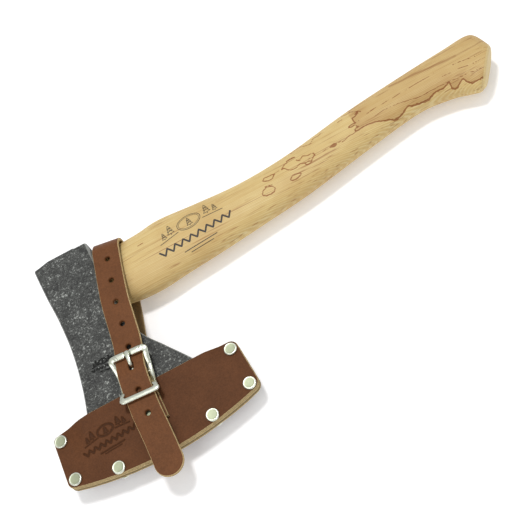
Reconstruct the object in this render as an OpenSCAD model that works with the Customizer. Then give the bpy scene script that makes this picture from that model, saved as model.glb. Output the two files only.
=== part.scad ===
// Small forestry axe with a leather edge sheath, whose strap goes round the eye.
// It lies on its side. +X runs along the handle to the knob, +Y to the poll, +Z up.
// Each part is drawn about the datum, where the strap crosses the handle's middle plane,
// and place() then moves the datum so that the origin is under the middle of the axe.

/* [Head] */
// Thickness of the head over the eye and the poll
head_t = 24.4; // [23.6:0.2:24.4]
// Distance from the datum to the poll face
poll_y = 31.5; // [30:0.5:34]
// Distance from the datum to the middle of the cutting edge
edge_y = 128; // [126:0.5:128.5]
// Length of the eye along the head
eye_len = 39; // [36:0.5:40]
// Width of the eye across the head
eye_w = 15; // [13:0.5:16]

/* [Handle] */
// Greatest thickness of the handle
handle_t = 22.4; // [20:0.2:22.8]
// Play between the handle and the eye, on each side
eye_gap = 0.1; // [0.05:0.05:0.3]
// Diameter of the round steel wedge
ring_d = 12; // [10:0.5:13]

/* [Sheath] */
// Thickness of the sheath's two leather panels
panel_t = 2.8; // [2.6:0.1:2.8]
// Thickness of the leather welt between the panels
welt_t = 2.9; // [2.9:0.1:3.2]
// Width of the welt along the sheath's lower edge
welt_w = 8.5; // [8:0.5:9.5]
// How far the panels stand apart from the welt's faces at the mouth
mouth_rise = 2.85; // [2.8:0.05:3]
// Diameter of the rivet caps
cap_d = 8.8; // [8.4:0.1:9]
// Diameter of the rivet posts
post_d = 3; // [2.5:0.1:3.2]

/* [Strap] */
// Width of the strap
strap_w = 19.5; // [18.5:0.1:19.6]
// Thickness of the strap
strap_t = 2.8; // [2.4:0.1:2.8]
// Diameter of the holes in the strap
hole_d = 3.6; // [3.4:0.1:4]
// Distance between the holes
hole_pitch = 17.3; // [16.5:0.1:17.5]
// Width of the leather loop that holds the buckle
loop_w = 19; // [18:0.5:21]
// Thickness of that loop's leather
loop_t = 1.5; // [1.3:0.1:1.5]

/* [Buckle] */
// Outer width of the buckle, across the strap
buckle_w = 27.6; // [27.4:0.1:29]
// Outer length of the buckle, along the strap
buckle_l = 35.5; // [35:0.5:37]
// Diameter of the centre bar
bar_d = 2.4; // [2.2:0.1:2.5]
// Width of the tongue
tongue_w = 2.4; // [2:0.1:2.6]

/* [Hidden] */
$fn = 48;

steel = "dimgray";
wood = "burlywood";
wedge_wood = "tan";
leather = "saddlebrown";
strap_leather = "sienna";
nickel = "gainsboro";

// The plan of the head. Its curves bend through these points.
head_right = [[-11.5, poll_y], [-10.5, 10], [-9, -15], [-7.5, -34], [-1, -54], [10.5, -70], [24, -88.5],
              [33, -103], [38, -117]];
head_left = [[-62.5, 14 - edge_y], [-58, -100], [-53.5, -82], [-50, -61], [-48.2, -40], [-49, -18],
             [-51.6, 5], [-53.6, poll_y - 2.2]];
edge_mid_x = -12;
edge_tip = 0.2;
// Half the head's thickness at places along it, as parts of that at the eye
head_taper = [[-28, 1], [-50, 0.76], [-70, 0.5], [-90, 0.31], [-112, 0.13]];

// The handle from the eye to the knob: a point on its upper edge, the point across from it on
// its lower edge, and its thickness there as a part of the greatest
handle_ribs = [
    [[-10.6, 20.5], [-8.2, -22.6], 0.88], [[8, 21.9], [8, -25.8], 0.97], [[24, 22.8], [25, -26.4], 1],
    [[41, 24.7], [45, -24.3], 1], [[70, 21.6], [72, -21.8], 0.99], [[105, 18.9], [105, -18], 0.97],
    [[144, 21.5], [144, -13.3], 0.95], [[195, 30.1], [194, -3.9], 0.94], [[245, 35.5], [238, 3.3], 0.96],
    [[277, 38.3], [262.3, 0.9], 1], [[295, 40], [274.7, -3.3], 1], [[301.5, 36], [282, -5.6], 1],
    [[305.5, 22.5], [285.3, -3.8], 0.99]
];
handle_sides = 28;
handle_steps = 36;
handle_square = 2.3;
end_bevel = 1.2;

// The sheath's plan
sheath_tl = [-81.6, -92.6];
sheath_bend = [-54, -89.3];
sheath_tr = [53, -89.6];
low_centre = [-17.5, 95.8];
low_r = 234.2;
pocket_left = -66.5;
pocket_right = 42;
// Where the panels leave the welt, and where they reach their full rise
rise_y = -124;
mouth_y = -89;
rise_x = [-71.5, -60, 31, 43.5];
rivets = [[-76.6, -97.3], [-75.4, -125.7], [-46.9, -132.5], [20.4, -130.8], [50, -123.3], [48.2, -95.5]];
tube_d = post_d + 1.2;
cap_h = 1.3;
post_play = 0.05;
anchor_cap_h = 0.85;
anchor_rise = 0.9;

// The strap's bend round the handle, and the run from there to the tail's tip
strap_yaw = -10.6;
bend_at = [-0.6, 12.3, 0];
bend_r = 13.8;
bend_hinges = [-90, -30, 30, 90];
// The datum's place in the part's frame
datum = [-112.1, 57.8, bend_r + strap_t / 2];
front_run = [
    bend_at + [0, 0, bend_r], [back_x(-6), -6, bend_r], [-7.2, -25, bend_r],
    [-8.9, -42, 13.2], [-10.5, -57, 12.1],
    [-12.4, -67, 11.8], [-14.2, -76, 13.2], [-14.9, -84, 14.4], [-15.6, -92, 13.3], [-15.9, -100.5, 11.8],
    [-15.8, -112, 11.8], [-15.6, -124, 9.2], [-15.5, -137, 7.4], [-15.4, -155.6, 6.6]
];
front_steps = 48;
back_end_y = -122;
back_taut_y = -28;
bend_hole_angle = 41;
tongue_hole_y = -77.6;
first_hole_y = -62.4;
hole_shift = 0.5;
hole_stretch = 2.6;
anchor_y = [-101, -116];

buckle_at = [-14.1, -84.1, 9.9];
buckle_yaw = -4.5;
// The tongue's hole lies on the tongue's own line
tongue_hole_x = buckle_at[0] - (tongue_hole_y - buckle_at[1]) * tan(buckle_yaw);
bar_rise = 5.2;
bar_h = 2.4;
top_bar_w = 4;
low_bar_w = 3.2;
side_w = 2.8;
notch_depth = 0.7;
tongue_t = 1.5;
tongue_path = [[0, 2.1], [5.5, 2.1], [7.3, 6], [13.2, 6.75], [17.3, 6.55]];
loop_rivet = [-16, -112];
loop_slack = 0.2;
loop_end_y = -118;
slot_w = 4.2;

function mix(a, b, t) = a + (b - a) * t;
function unit(v) = v / norm(v);
function knot(points, i) = points[min(len(points) - 1, max(0, i))];
// A smooth curve through every point, t counting the points
function curve(points, t) =
    let (i = min(len(points) - 2, floor(t)), f = t - i,
         a = knot(points, i - 1), b = knot(points, i), c = knot(points, i + 1), d = knot(points, i + 2))
    0.5 * (2 * b + (c - a) * f + (2 * a - 5 * b + 4 * c - d) * f * f + (3 * b - a - 3 * c + d) * f * f * f);
function smooth_line(points, steps) = [for (i = [0:steps]) curve(points, i * (len(points) - 1) / steps)];
// Points round a corner b of radius r, between its neighbours a and c
function corner(a, b, c, r, steps = 5) =
    let (u = unit(a - b), v = unit(c - b), half = acos(u * v) / 2,
         m = b + unit(u + v) * r / sin(half), s = b + u * r / tan(half) - m, e = b + v * r / tan(half) - m)
    [for (i = [0:steps]) m + r * unit(mix(s, e, i / steps))];
// How far x is along the steps between the numbers of a list, from 0 to 1
function ramp(x, low, high) = min(1, max(0, (x - low) / (high - low)));

// Cutting edge from heel to toe, as a parabola through its lowest point
heel = head_right[len(head_right) - 1];
toe = head_left[0];
function edge_point(x) =
    let (side = x > edge_mid_x ? heel : toe, s = (x - edge_mid_x) / (side[0] - edge_mid_x))
    [x, mix(-edge_y, side[1], s * s)];
head_outline = concat(
    smooth_line(head_right, 16),
    [for (i = [1:13]) edge_point(mix(heel[0], toe[0], i / 14))],
    smooth_line(head_left, 14),
    [[-42, poll_y + 0.3], [-20, poll_y + 0.3]]);
head_side = [for (p = head_taper) [p[0], p[1] * head_t / 2]];
head_profile = concat(
    [[poll_y + 2, head_t / 2]], head_side, [[-edge_y - 1, edge_tip], [-edge_y - 1, -edge_tip]],
    [for (i = [len(head_side) - 1:-1:0]) [head_side[i][0], -head_side[i][1]]], [[poll_y + 2, -head_t / 2]]);

// The sheath's lower edge and its whole outline
function low_y(x, inset = 0) = low_centre[1] - sqrt(pow(low_r - inset, 2) - pow(x - low_centre[0], 2));
sheath_br = [56.3, low_y(56.3)];
sheath_bl = [-81.2, low_y(-81.2)];
low_right = [44, low_y(44)];
low_left = [-70, low_y(-70)];
sheath_outline = concat(
    corner(sheath_bl, sheath_tl, sheath_bend, 4), [sheath_bend],
    corner(sheath_bend, sheath_tr, sheath_br, 5), corner(sheath_tr, sheath_br, low_right, 6),
    [for (i = [0:14]) let (x = mix(low_right[0], low_left[0], i / 14)) [x, low_y(x)]],
    corner(low_left, sheath_bl, sheath_tl, 5));
// Height of a panel's inner face over the middle plane, and of its outer face
function panel_in(x, y) =
    let (across = min(ramp(x, rise_x[0], rise_x[1]), 1 - ramp(x, rise_x[2], rise_x[3])))
    welt_t / 2 + mouth_rise * across * max(0, (y - rise_y) / (mouth_y - rise_y));
function panel_out(x, y) = panel_in(x, y) + panel_t;

// Directions at the strap's bend: across the strap, and away from the blade
across_strap = [cos(strap_yaw), sin(strap_yaw), 0];
off_strap = [-sin(strap_yaw), cos(strap_yaw), 0];
function bend_point(angle) = bend_at + bend_r * (off_strap * cos(angle) + [0, 0, sin(angle)]);
function back_x(y) = bend_at[0] + (y - bend_at[1]) * tan(-strap_yaw);
function back_z(y) = -(panel_out(back_x(y), y) + 0.15 + strap_t / 2);
back_run = concat(
    [for (y = [back_end_y, -110, mouth_y - 2]) [back_x(y), y, back_z(y)]],
    [[back_x(back_taut_y), back_taut_y, -bend_r], [back_x(-8), -8, -bend_r]]);
function front_point(t) = curve(front_run, t);
function along_run(t) = unit(front_point(min(len(front_run) - 1, t + 0.05)) - front_point(max(0, t - 0.05)));
function across_run(t) =
    let (step = along_run(t))
    unit([-step[1], step[0], 0]);
tail_y = front_run[len(front_run) - 1][1];
function tail_half(y) =
    let (past = strap_w / 2 - (y - tail_y))
    past <= 0 ? strap_w / 2 : sqrt(max(0.36, pow(strap_w / 2, 2) - past * past));
// Half circle that ends the tail
tail_centre_y = tail_y + strap_w / 2;
// Place along the front run at which it passes y
function run_at(y, low = 0, high = 13, n = 20) =
    n == 0 ? (low + high) / 2
    : front_point((low + high) / 2)[1] > y ? run_at(y, (low + high) / 2, high, n - 1)
    : run_at(y, low, (low + high) / 2, n - 1);

module place() {
    translate(datum) children();
}

// A closed solid whose skin passes through rings of equally many points, all turning about
// the way from the first ring to the last. Its ends are closed by rungs between the two
// halves of the ring.
module skin(rings) {
    k = len(rings[0]);
    last = (len(rings) - 1) * k;
    polyhedron(
        points = [for (ring = rings) each ring],
        faces = concat(
            [for (j = [0:k / 2 - 2]) [j, j + 1, k - 2 - j, k - 1 - j]],
            [for (i = [0:k:last - k]) for (j = [0:k - 1]) [i + j, i + k + j, i + k + (j + 1) % k]],
            [for (i = [0:k:last - k]) for (j = [0:k - 1]) [i + j, i + k + (j + 1) % k, i + (j + 1) % k]],
            [for (j = [0:k / 2 - 2]) [last + k - 1 - j, last + k - 2 - j, last + j + 1, last + j]]));
}

// Four corners of a strip's cross-section at a point, seen along its length
function strip_ring(centre, along, across, width, thick) =
    let (up = unit(cross(along, across)), u = across * width / 2, v = up * thick / 2)
    [centre - u - v, centre + u - v, centre + u + v, centre - u + v];

// A leather strip through a list of centres, all across the same direction
module strip(centres, across, width, thick) {
    last = len(centres) - 1;
    skin([for (i = [0:last])
        strip_ring(centres[i], unit(centres[min(last, i + 1)] - centres[max(0, i - 1)]),
                   across, width, thick)]);
}

// A part of the strap's bend between two angles, 0 being the one away from the blade
module bend_part(from, to) {
    translate(bend_at)
        rotate([0, 0, strap_yaw])
        rotate([90, -from, 90])
        rotate_extrude(angle = to - from, $fn = 96)
        translate([bend_r - strap_t / 2, -strap_w / 2])
        square([strap_t, strap_w]);
}

// A prism along X of an outline in Y and Z, from one X to another
module along_x(from, to) {
    translate([from, 0, 0])
        rotate([90, 0, 90])
        linear_extrude(to - from)
        children();
}

module eye_shape(gap) {
    reach = (eye_len - eye_w) / 2;
    square([2 * reach, eye_w - 2 * gap], center = true);
    for (side = [-1, 1])
        translate([side * reach, 0])
            circle(d = eye_w - 2 * gap);
}

module axe_head() {
    color(steel)
        place()
        difference() {
            intersection() {
                linear_extrude(head_t, center = true)
                    polygon(head_outline);
                along_x(-100, 100)
                    polygon(head_profile);
            }
            along_x(-80, 0)
                eye_shape(0);
        }
}

// Cuts its children flush with the head's far side
module flush() {
    intersection() {
        linear_extrude(60, center = true)
            polygon(concat(smooth_line(head_left, 14), [[30, poll_y], [30, -edge_y]]));
        children();
    }
}

// Space of the wood wedge, which spreads the handle in the eye
module wedge_space() {
    flush()
        rotate([90, 0, 0])
        linear_extrude(eye_len - 6, center = true)
        polygon([[-60, -1.7], [-60, 1.7], [-26, 0.3], [-26, -0.3]]);
}

module ring_space() {
    flush()
        along_x(-60, -42)
        difference() {
            circle(d = ring_d);
            circle(d = ring_d - 3);
        }
}

function handle_ring(rib, grow = 1, shift = [0, 0]) =
    let (middle = (rib[0] + rib[1]) / 2 + shift, half = (rib[0] - rib[1]) / 2 * grow,
         up = rib[2] * handle_t / 2 * grow)
    [for (i = [0:handle_sides - 1])
        let (a = 360 * i / handle_sides,
             p = sign(cos(a)) * pow(abs(cos(a)), 2 / handle_square),
             q = sign(sin(a)) * pow(abs(sin(a)), 2 / handle_square))
        [middle[0] + half[0] * p, middle[1] + half[1] * p, up * q]];

module handle() {
    knob = handle_ribs[len(handle_ribs) - 1];
    out = unit([knob[0][1] - knob[1][1], knob[1][0] - knob[0][0]]);
    color(wood)
        place()
        difference() {
            union() {
                skin(concat(
                    [for (rib = smooth_line(handle_ribs, handle_steps)) handle_ring(rib)],
                    [handle_ring(knob, 0.93, out * end_bevel)]));
                flush()
                    along_x(-60, -5)
                    eye_shape(eye_gap);
            }
            wedge_space();
            ring_space();
        }
}

module wood_wedge() {
    color(wedge_wood)
        place()
        difference() {
            wedge_space();
            ring_space();
        }
}

module ring_wedge() {
    color(steel)
        place()
        ring_space();
}

module rivet_holes(places, d) {
    for (p = places)
        translate([p[0], p[1], -20])
            cylinder(d = d, h = 40);
}

// A thick sheet that lies on the welt and rises over the blade towards the mouth
module panel_sheet() {
    xs = concat([-95], [for (i = [0:3]) mix(rise_x[0], rise_x[1], i / 3)],
        [for (i = [0:3]) mix(rise_x[2], rise_x[3], i / 3)], [70]);
    ys = concat([-150], [for (i = [0:3]) mix(rise_y, -80, i / 3)]);
    ring = [for (x = xs) [for (y = ys) [x, y, panel_in(x, y)]]];
    skin([for (column = ring)
        concat(column, [for (i = [len(ys) - 1:-1:0]) column[i] + [0, 0, panel_t]])]);
}

module panel(holes) {
    difference() {
        intersection() {
            panel_sheet();
            linear_extrude(20)
                polygon(sheath_outline);
        }
        rivet_holes(rivets, tube_d);
        rivet_holes(holes, tube_d);
        for (p = holes)
            translate([p[0], p[1], 0])
                cylinder(d = cap_d + 0.2, h = anchor_in(p) + anchor_cap_h + 0.1);
    }
}

// Height of an anchor rivet's inner cap over the middle plane
function anchor_in(p) = panel_in(p[0], p[1]) - 0.1;
anchors = [for (y = anchor_y) [back_x(y), y]];

module sheath_front() {
    color(leather)
        place()
        panel([loop_rivet]);
}

module sheath_back() {
    color(leather)
        place()
        mirror([0, 0, 1])
        panel(anchors);
}

module sheath_welt() {
    pocket = concat(
        [[pocket_right, -80]],
        [for (i = [0:12]) let (x = mix(pocket_right, pocket_left, i / 12)) [x, low_y(x, welt_w)]],
        [[pocket_left, -80]]);
    color(leather)
        place()
        difference() {
            linear_extrude(welt_t, center = true)
                difference() {
                    polygon(sheath_outline);
                    polygon(pocket);
                }
            rivet_holes(rivets, tube_d);
        }
}

// A rivet's domed cap, standing on Z = 0
module cap(height = cap_h) {
    rotate_extrude()
        polygon([[0, 0], [cap_d / 2, 0], [cap_d / 2, height * 0.4],
                 [cap_d / 2 - 0.9, height * 0.9], [0, height]]);
}

// The outer half of a rivet, with the tube that goes through the leather
module cap_and_tube(reach, height = cap_h) {
    cap(height);
    translate([0, 0, -reach])
        difference() {
            cylinder(d = tube_d, h = reach);
            translate([0, 0, -1])
                cylinder(d = post_d + 2 * post_play, h = reach + 0.5);
        }
}

module rivet_caps() {
    color(nickel)
        place()
        for (p = rivets)
            translate([p[0], p[1], welt_t / 2 + panel_t])
                cap_and_tube(welt_t + 2 * panel_t - 1);
}

module rivet_posts() {
    color(nickel)
        place()
        for (p = rivets)
            translate([p[0], p[1], -welt_t / 2 - panel_t])
            mirror([0, 0, 1]) {
                cap();
                translate([0, 0, -welt_t - 2 * panel_t + 1])
                    cylinder(d = post_d, h = welt_t + 2 * panel_t - 1);
            }
}

// Height of the strap's outer face, or of the buckle loop's, where an anchor rivet closes it
function anchor_top(p, layers) = panel_out(p[0], p[1]) + 0.55 + layers;

module anchor_cap(p, layers) {
    translate([p[0], p[1], anchor_top(p, layers)])
        cap_and_tube(anchor_top(p, layers) - anchor_in(p) - anchor_cap_h - 0.2, anchor_rise);
}

module anchor_caps() {
    color(nickel)
        place() {
            anchor_cap(loop_rivet, 2 * loop_t + 0.1);
            for (p = anchors)
                mirror([0, 0, 1])
                    anchor_cap(p, strap_t);
        }
}

module anchor_post(p, layers) {
    translate([p[0], p[1], anchor_in(p)]) {
        cylinder(d = cap_d, h = anchor_cap_h);
        cylinder(d = post_d, h = anchor_top(p, layers) - anchor_in(p) - 0.8);
    }
}

module anchor_posts() {
    color(nickel)
        place() {
            anchor_post(loop_rivet, 2 * loop_t + 0.1);
            for (p = anchors)
                mirror([0, 0, 1])
                    anchor_post(p, strap_t);
        }
}

module strap_back() {
    color(strap_leather)
        place()
        difference() {
            strip(concat(back_run, [bend_point(bend_hinges[0])]), across_strap, strap_w, strap_t);
            rivet_holes(anchors, tube_d);
        }
}

module strap_wrap_lower() {
    color(strap_leather)
        place()
        bend_part(bend_hinges[0], bend_hinges[1]);
}

module strap_wrap_middle() {
    color(strap_leather)
        place()
        bend_part(bend_hinges[1], bend_hinges[2]);
}

module strap_wrap_upper() {
    color(strap_leather)
        place()
        difference() {
            bend_part(bend_hinges[2], bend_hinges[3]);
            translate(bend_at)
                rotate([0, 0, strap_yaw])
                rotate([bend_hole_angle - 90, 0, 0])
                cylinder(d = hole_d, h = 20);
        }
}

module strap_front() {
    straight = run_at(tail_centre_y);
    steps = concat(
        [for (i = [0:front_steps]) i * straight / front_steps],
        [for (a = [15:15:75]) run_at(tail_centre_y - strap_w / 2 * sin(a))],
        [len(front_run) - 1]);
    color(strap_leather)
        place()
        difference() {
            skin([for (t = steps)
                strip_ring(front_point(t), along_run(t), t == 0 ? across_strap : across_run(t),
                    2 * tail_half(front_point(t)[1]), strap_t)]);
            for (y = concat([for (i = [0:4]) first_hole_y + i * hole_pitch],
                            [tongue_hole_y - hole_pitch, tongue_hole_y - 2 * hole_pitch]))
                translate([front_point(run_at(y))[0] + hole_shift, y, 0])
                    cylinder(d = hole_d, h = 20);
            for (shift = [-hole_stretch:hole_stretch / 2:hole_stretch])
                translate([tongue_hole_x, tongue_hole_y + shift, 0])
                    cylinder(d = hole_d, h = 20);
        }
}

// The leather loop that holds the buckle's centre bar: two runs and a half turn, square to the bar
module buckle_loop() {
    r = bar_d / 2 + loop_slack + loop_t / 2;
    bar_y = buckle_at[1];
    low_z = panel_out(buckle_at[0], loop_end_y) + 0.2 + loop_t / 2;
    mouth_z = panel_out(buckle_at[0], mouth_y) + 0.2 + loop_t / 2;
    path = concat(
        [[0, loop_end_y - bar_y, low_z], [0, mouth_y - 1 - bar_y, mouth_z - 0.08]],
        [for (a = [-90:22.5:90]) [0, r * cos(a), buckle_at[2] + r * sin(a)]],
        [[0, mouth_y - 3 - bar_y, buckle_at[2] + 0.9], [0, -104.5 - bar_y, low_z + 2.69],
         [0, loop_end_y - bar_y, low_z + loop_t + 0.1]]);
    color(strap_leather)
        place()
        difference() {
            translate([buckle_at[0], bar_y, 0])
                rotate([0, 0, buckle_yaw])
                difference() {
                    strip(path, [1, 0, 0], loop_w, loop_t);
                    translate([-slot_w / 2, -5, 0])
                        cube([slot_w, 10, 20]);
                }
            translate([loop_rivet[0], loop_rivet[1], 0])
                cylinder(d = tube_d, h = 20);
        }
}

module in_buckle() {
    place()
        translate(buckle_at)
        rotate([0, 0, buckle_yaw])
        children();
}

// The buckle's outline, with rounder corners at the tongue's tip
function buckle_outline(inset, top_r, low_r) =
    let (x = buckle_w / 2 - inset, y = buckle_l / 2 - inset)
    concat(
        corner([-x, -y], [-x, y], [x, y], top_r), corner([-x, y], [x, y], [x, -y], top_r),
        corner([x, y], [x, -y], [-x, -y], low_r), corner([x, -y], [-x, -y], [-x, y], low_r));

module buckle_frame() {
    top = buckle_l / 2;
    low = bar_rise - bar_h / 2;
    high = bar_rise + bar_h / 2;
    color(nickel)
        in_buckle() {
            difference() {
                intersection() {
                    linear_extrude(40, center = true)
                        difference() {
                            polygon(buckle_outline(0, 3.4, 2.4));
                            translate([0, (low_bar_w - top_bar_w) / 2])
                                square([buckle_w - 2 * side_w, buckle_l - top_bar_w - low_bar_w],
                                       center = true);
                        }
                    along_x(-30, 30)
                        polygon([
                            [-top - 1, low], [3.4 - top, low], [-8, 1.2], [-2.6, -1.4], [2.6, -1.4], [8, 1],
                            [top - 4.2, low], [top + 1, low], [top + 1, high], [top - 4.8, high],
                            [9.4, 3.6], [3, 1.4], [-3, 1.4], [-9.4, 3.7], [4 - top, high], [-top - 1, high]]);
                }
                translate([-tongue_w / 2 - 0.3, top - 10, high - notch_depth])
                    cube([tongue_w + 0.6, 20, 5]);
            }
            along_x(-buckle_w / 2 + side_w / 2, buckle_w / 2 - side_w / 2)
                circle(d = bar_d);
        }
}

module buckle_tongue() {
    last = len(tongue_path) - 1;
    sides = [for (i = [0:last])
        let (step = unit(tongue_path[min(last, i + 1)] - tongue_path[max(0, i - 1)]))
        [-step[1], step[0]] * tongue_t / 2];
    outline = concat(
        [for (i = [0:last]) tongue_path[i] + sides[i]],
        [for (i = [last:-1:0]) tongue_path[i] - sides[i]]);
    color(nickel)
        in_buckle()
        difference() {
            union() {
                along_x(-tongue_w / 2, tongue_w / 2)
                    circle(r = bar_d / 2 + tongue_t);
                along_x(-tongue_w / 2, tongue_w / 2)
                    polygon(outline);
            }
            along_x(-tongue_w, tongue_w)
                circle(r = bar_d / 2 + post_play);
        }
}

axe_head();
handle();
wood_wedge();
ring_wedge();
sheath_front();
sheath_welt();
sheath_back();
rivet_caps();
rivet_posts();
strap_back();
strap_wrap_lower();
strap_wrap_middle();
strap_wrap_upper();
strap_front();
anchor_caps();
anchor_posts();
buckle_loop();
buckle_frame();
buckle_tongue();
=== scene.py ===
import math

import bpy
import numpy as np
from mathutils import Matrix, Vector, geometry, noise
from mathutils.bvhtree import BVHTree


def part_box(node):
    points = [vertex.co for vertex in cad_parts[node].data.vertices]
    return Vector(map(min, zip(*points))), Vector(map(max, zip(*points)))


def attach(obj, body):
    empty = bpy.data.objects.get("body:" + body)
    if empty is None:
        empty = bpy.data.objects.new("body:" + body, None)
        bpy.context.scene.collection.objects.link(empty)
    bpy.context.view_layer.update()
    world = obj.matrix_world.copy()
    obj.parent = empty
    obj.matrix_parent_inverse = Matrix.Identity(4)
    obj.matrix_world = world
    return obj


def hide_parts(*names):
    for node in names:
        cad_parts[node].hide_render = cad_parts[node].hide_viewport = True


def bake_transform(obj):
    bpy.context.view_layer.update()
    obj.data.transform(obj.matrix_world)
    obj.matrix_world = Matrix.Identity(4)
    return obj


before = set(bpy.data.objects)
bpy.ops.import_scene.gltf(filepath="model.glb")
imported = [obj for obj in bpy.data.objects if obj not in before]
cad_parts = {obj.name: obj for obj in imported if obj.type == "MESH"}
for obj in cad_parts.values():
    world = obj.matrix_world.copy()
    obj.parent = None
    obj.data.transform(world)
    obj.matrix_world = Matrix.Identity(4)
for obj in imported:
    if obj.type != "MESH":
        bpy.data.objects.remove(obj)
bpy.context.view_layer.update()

# Lengths below are in millimetres from the datum: where the strap crosses the handle, on its middle plane.
RIVETS_MIDDLE = (-13.3, -114.0)
rivet_low, rivet_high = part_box("rivet_caps")
head_low, head_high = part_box("axe_head")
DATUM = np.array([
    (rivet_low.x + rivet_high.x) * 500 - RIVETS_MIDDLE[0],
    (rivet_low.y + rivet_high.y) * 500 - RIVETS_MIDDLE[1],
    (head_low.z + head_high.z) * 500,
])


def at(points):
    return (np.asarray(points, float) + DATUM) / 1000


# -------- curves and outlines

def curve(points, count):
    """Points of a smooth curve through the given ones."""
    p = np.asarray(points, float)
    end = len(p) - 1
    out = []
    for t in np.linspace(0, end, count):
        i = min(int(t), end - 1)
        f = t - i
        a, b, c, d = (p[min(max(i + k, 0), end)] for k in (-1, 0, 1, 2))
        out.append(0.5 * (2 * b + (c - a) * f + (2 * a - 5 * b + 4 * c - d) * f * f
                          + (3 * b - a - 3 * c + d) * f ** 3))
    return np.array(out)


def rounded(corners, radii, steps=8):
    """A closed outline whose corners have the given radii."""
    out = []
    n = len(corners)
    for i, r in enumerate(radii):
        a, b, c = (np.array(corners[(i + k) % n], float) for k in (-1, 0, 1))
        if r == 0:
            out.append(b)
            continue
        u = (a - b) / np.linalg.norm(a - b)
        v = (c - b) / np.linalg.norm(c - b)
        half = math.acos(float(u @ v)) / 2
        m = b + (u + v) / np.linalg.norm(u + v) * r / math.sin(half)
        s = b + u * r / math.tan(half) - m
        e = b + v * r / math.tan(half) - m
        for k in range(steps + 1):
            w = s + (e - s) * k / steps
            out.append(m + w / np.linalg.norm(w) * r)
    return np.array(out)


def bend(a, b, c, radius, steps=8):
    """Points round the corner b, on the way from a to c."""
    return rounded([a, b, c], [0, radius, 0], steps)[1:-1]


def circle(x, y, r, stretch=0.0):
    a = np.arange(28) * 2 * math.pi / 28
    return np.stack([x + r * np.cos(a) + stretch * np.sign(np.cos(a)), y + r * np.sin(a)], 1)


def resample(loop, step):
    """The outline's corners, with points between them at most a step apart."""
    out = []
    for a, b in zip(loop, np.roll(loop, -1, 0)):
        n = max(1, int(math.ceil(np.linalg.norm(b - a) / step)))
        out += [a + (b - a) * k / n for k in range(n)]
    return np.array(out)


def inside(p, loop):
    x, y = p[:, 0], p[:, 1]
    hit = np.zeros(len(p), bool)
    for a, b in zip(loop, np.roll(loop, -1, 0)):
        if a[1] != b[1]:
            cross = (a[1] > y) != (b[1] > y)
            hit ^= cross & (x < (b[0] - a[0]) * (y - a[1]) / (b[1] - a[1]) + a[0])
    return hit


def pairs(line):
    return list(zip(line[:-1], line[1:]))


def gap_to(p, segments):
    """Distance from points to the nearest of some segments."""
    best = np.full(len(p), 1e9)
    for a, b in segments:
        d = b - a
        t = np.clip(((p - a) @ d) / max(d @ d, 1e-12), 0, 1)
        best = np.minimum(best, np.linalg.norm(p - a - t[:, None] * d, axis=1))
    return best


def smooth(t):
    t = np.clip(t, 0, 1)
    return t * t * (3 - 2 * t)


def wobble(p, size, seed):
    """Smooth noise from about -1 to 1 at some points, with features of about that size."""
    p = np.asarray(p, float)
    if p.shape[1] == 2:
        p = np.column_stack([p, np.zeros(len(p))])
    return np.array([noise.noise(Vector(q / size) + Vector((seed, seed * 0.7, 3.1))) for q in p])


# -------- mesh builders

def new_object(name, data):
    obj = bpy.data.objects.new(name, data)
    bpy.context.scene.collection.objects.link(obj)
    return obj


def add_mesh(name, verts, faces, body, slot, material, points=None, sharp=40, replaces=()):
    """A piece made from points in mm. Its point values are what its material reads."""
    mesh = bpy.data.meshes.new(name)
    mesh.from_pydata([tuple(v) for v in at(verts)], [], [tuple(int(i) for i in f) for f in faces])
    mesh.materials.append(material)
    mesh.polygons.foreach_set("use_smooth", np.ones(len(mesh.polygons), bool))
    points = dict(points or {})
    rest = np.asarray(points.pop("rest", verts), np.float32)
    mesh.attributes.new("rest", "FLOAT_VECTOR", "POINT").data.foreach_set("vector", rest.ravel())
    for key, values in points.items():
        layer = mesh.attributes.new(key, "FLOAT", "POINT")
        layer.data.foreach_set("value", np.asarray(values, np.float32))
    mesh.update()
    if sharp:
        mesh.set_sharp_from_angle(angle=math.radians(sharp))
    obj = new_object(name, mesh)
    if body:
        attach(obj, body)
    if replaces:
        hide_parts(*replaces)
    return obj


def round_off(depth, r):
    """How far a rim of radius r drops below the face, at a depth in from the edge."""
    d = np.clip(depth, 0, r)
    return r - np.sqrt(np.maximum(r * r - (r - d) ** 2, 0))


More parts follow.
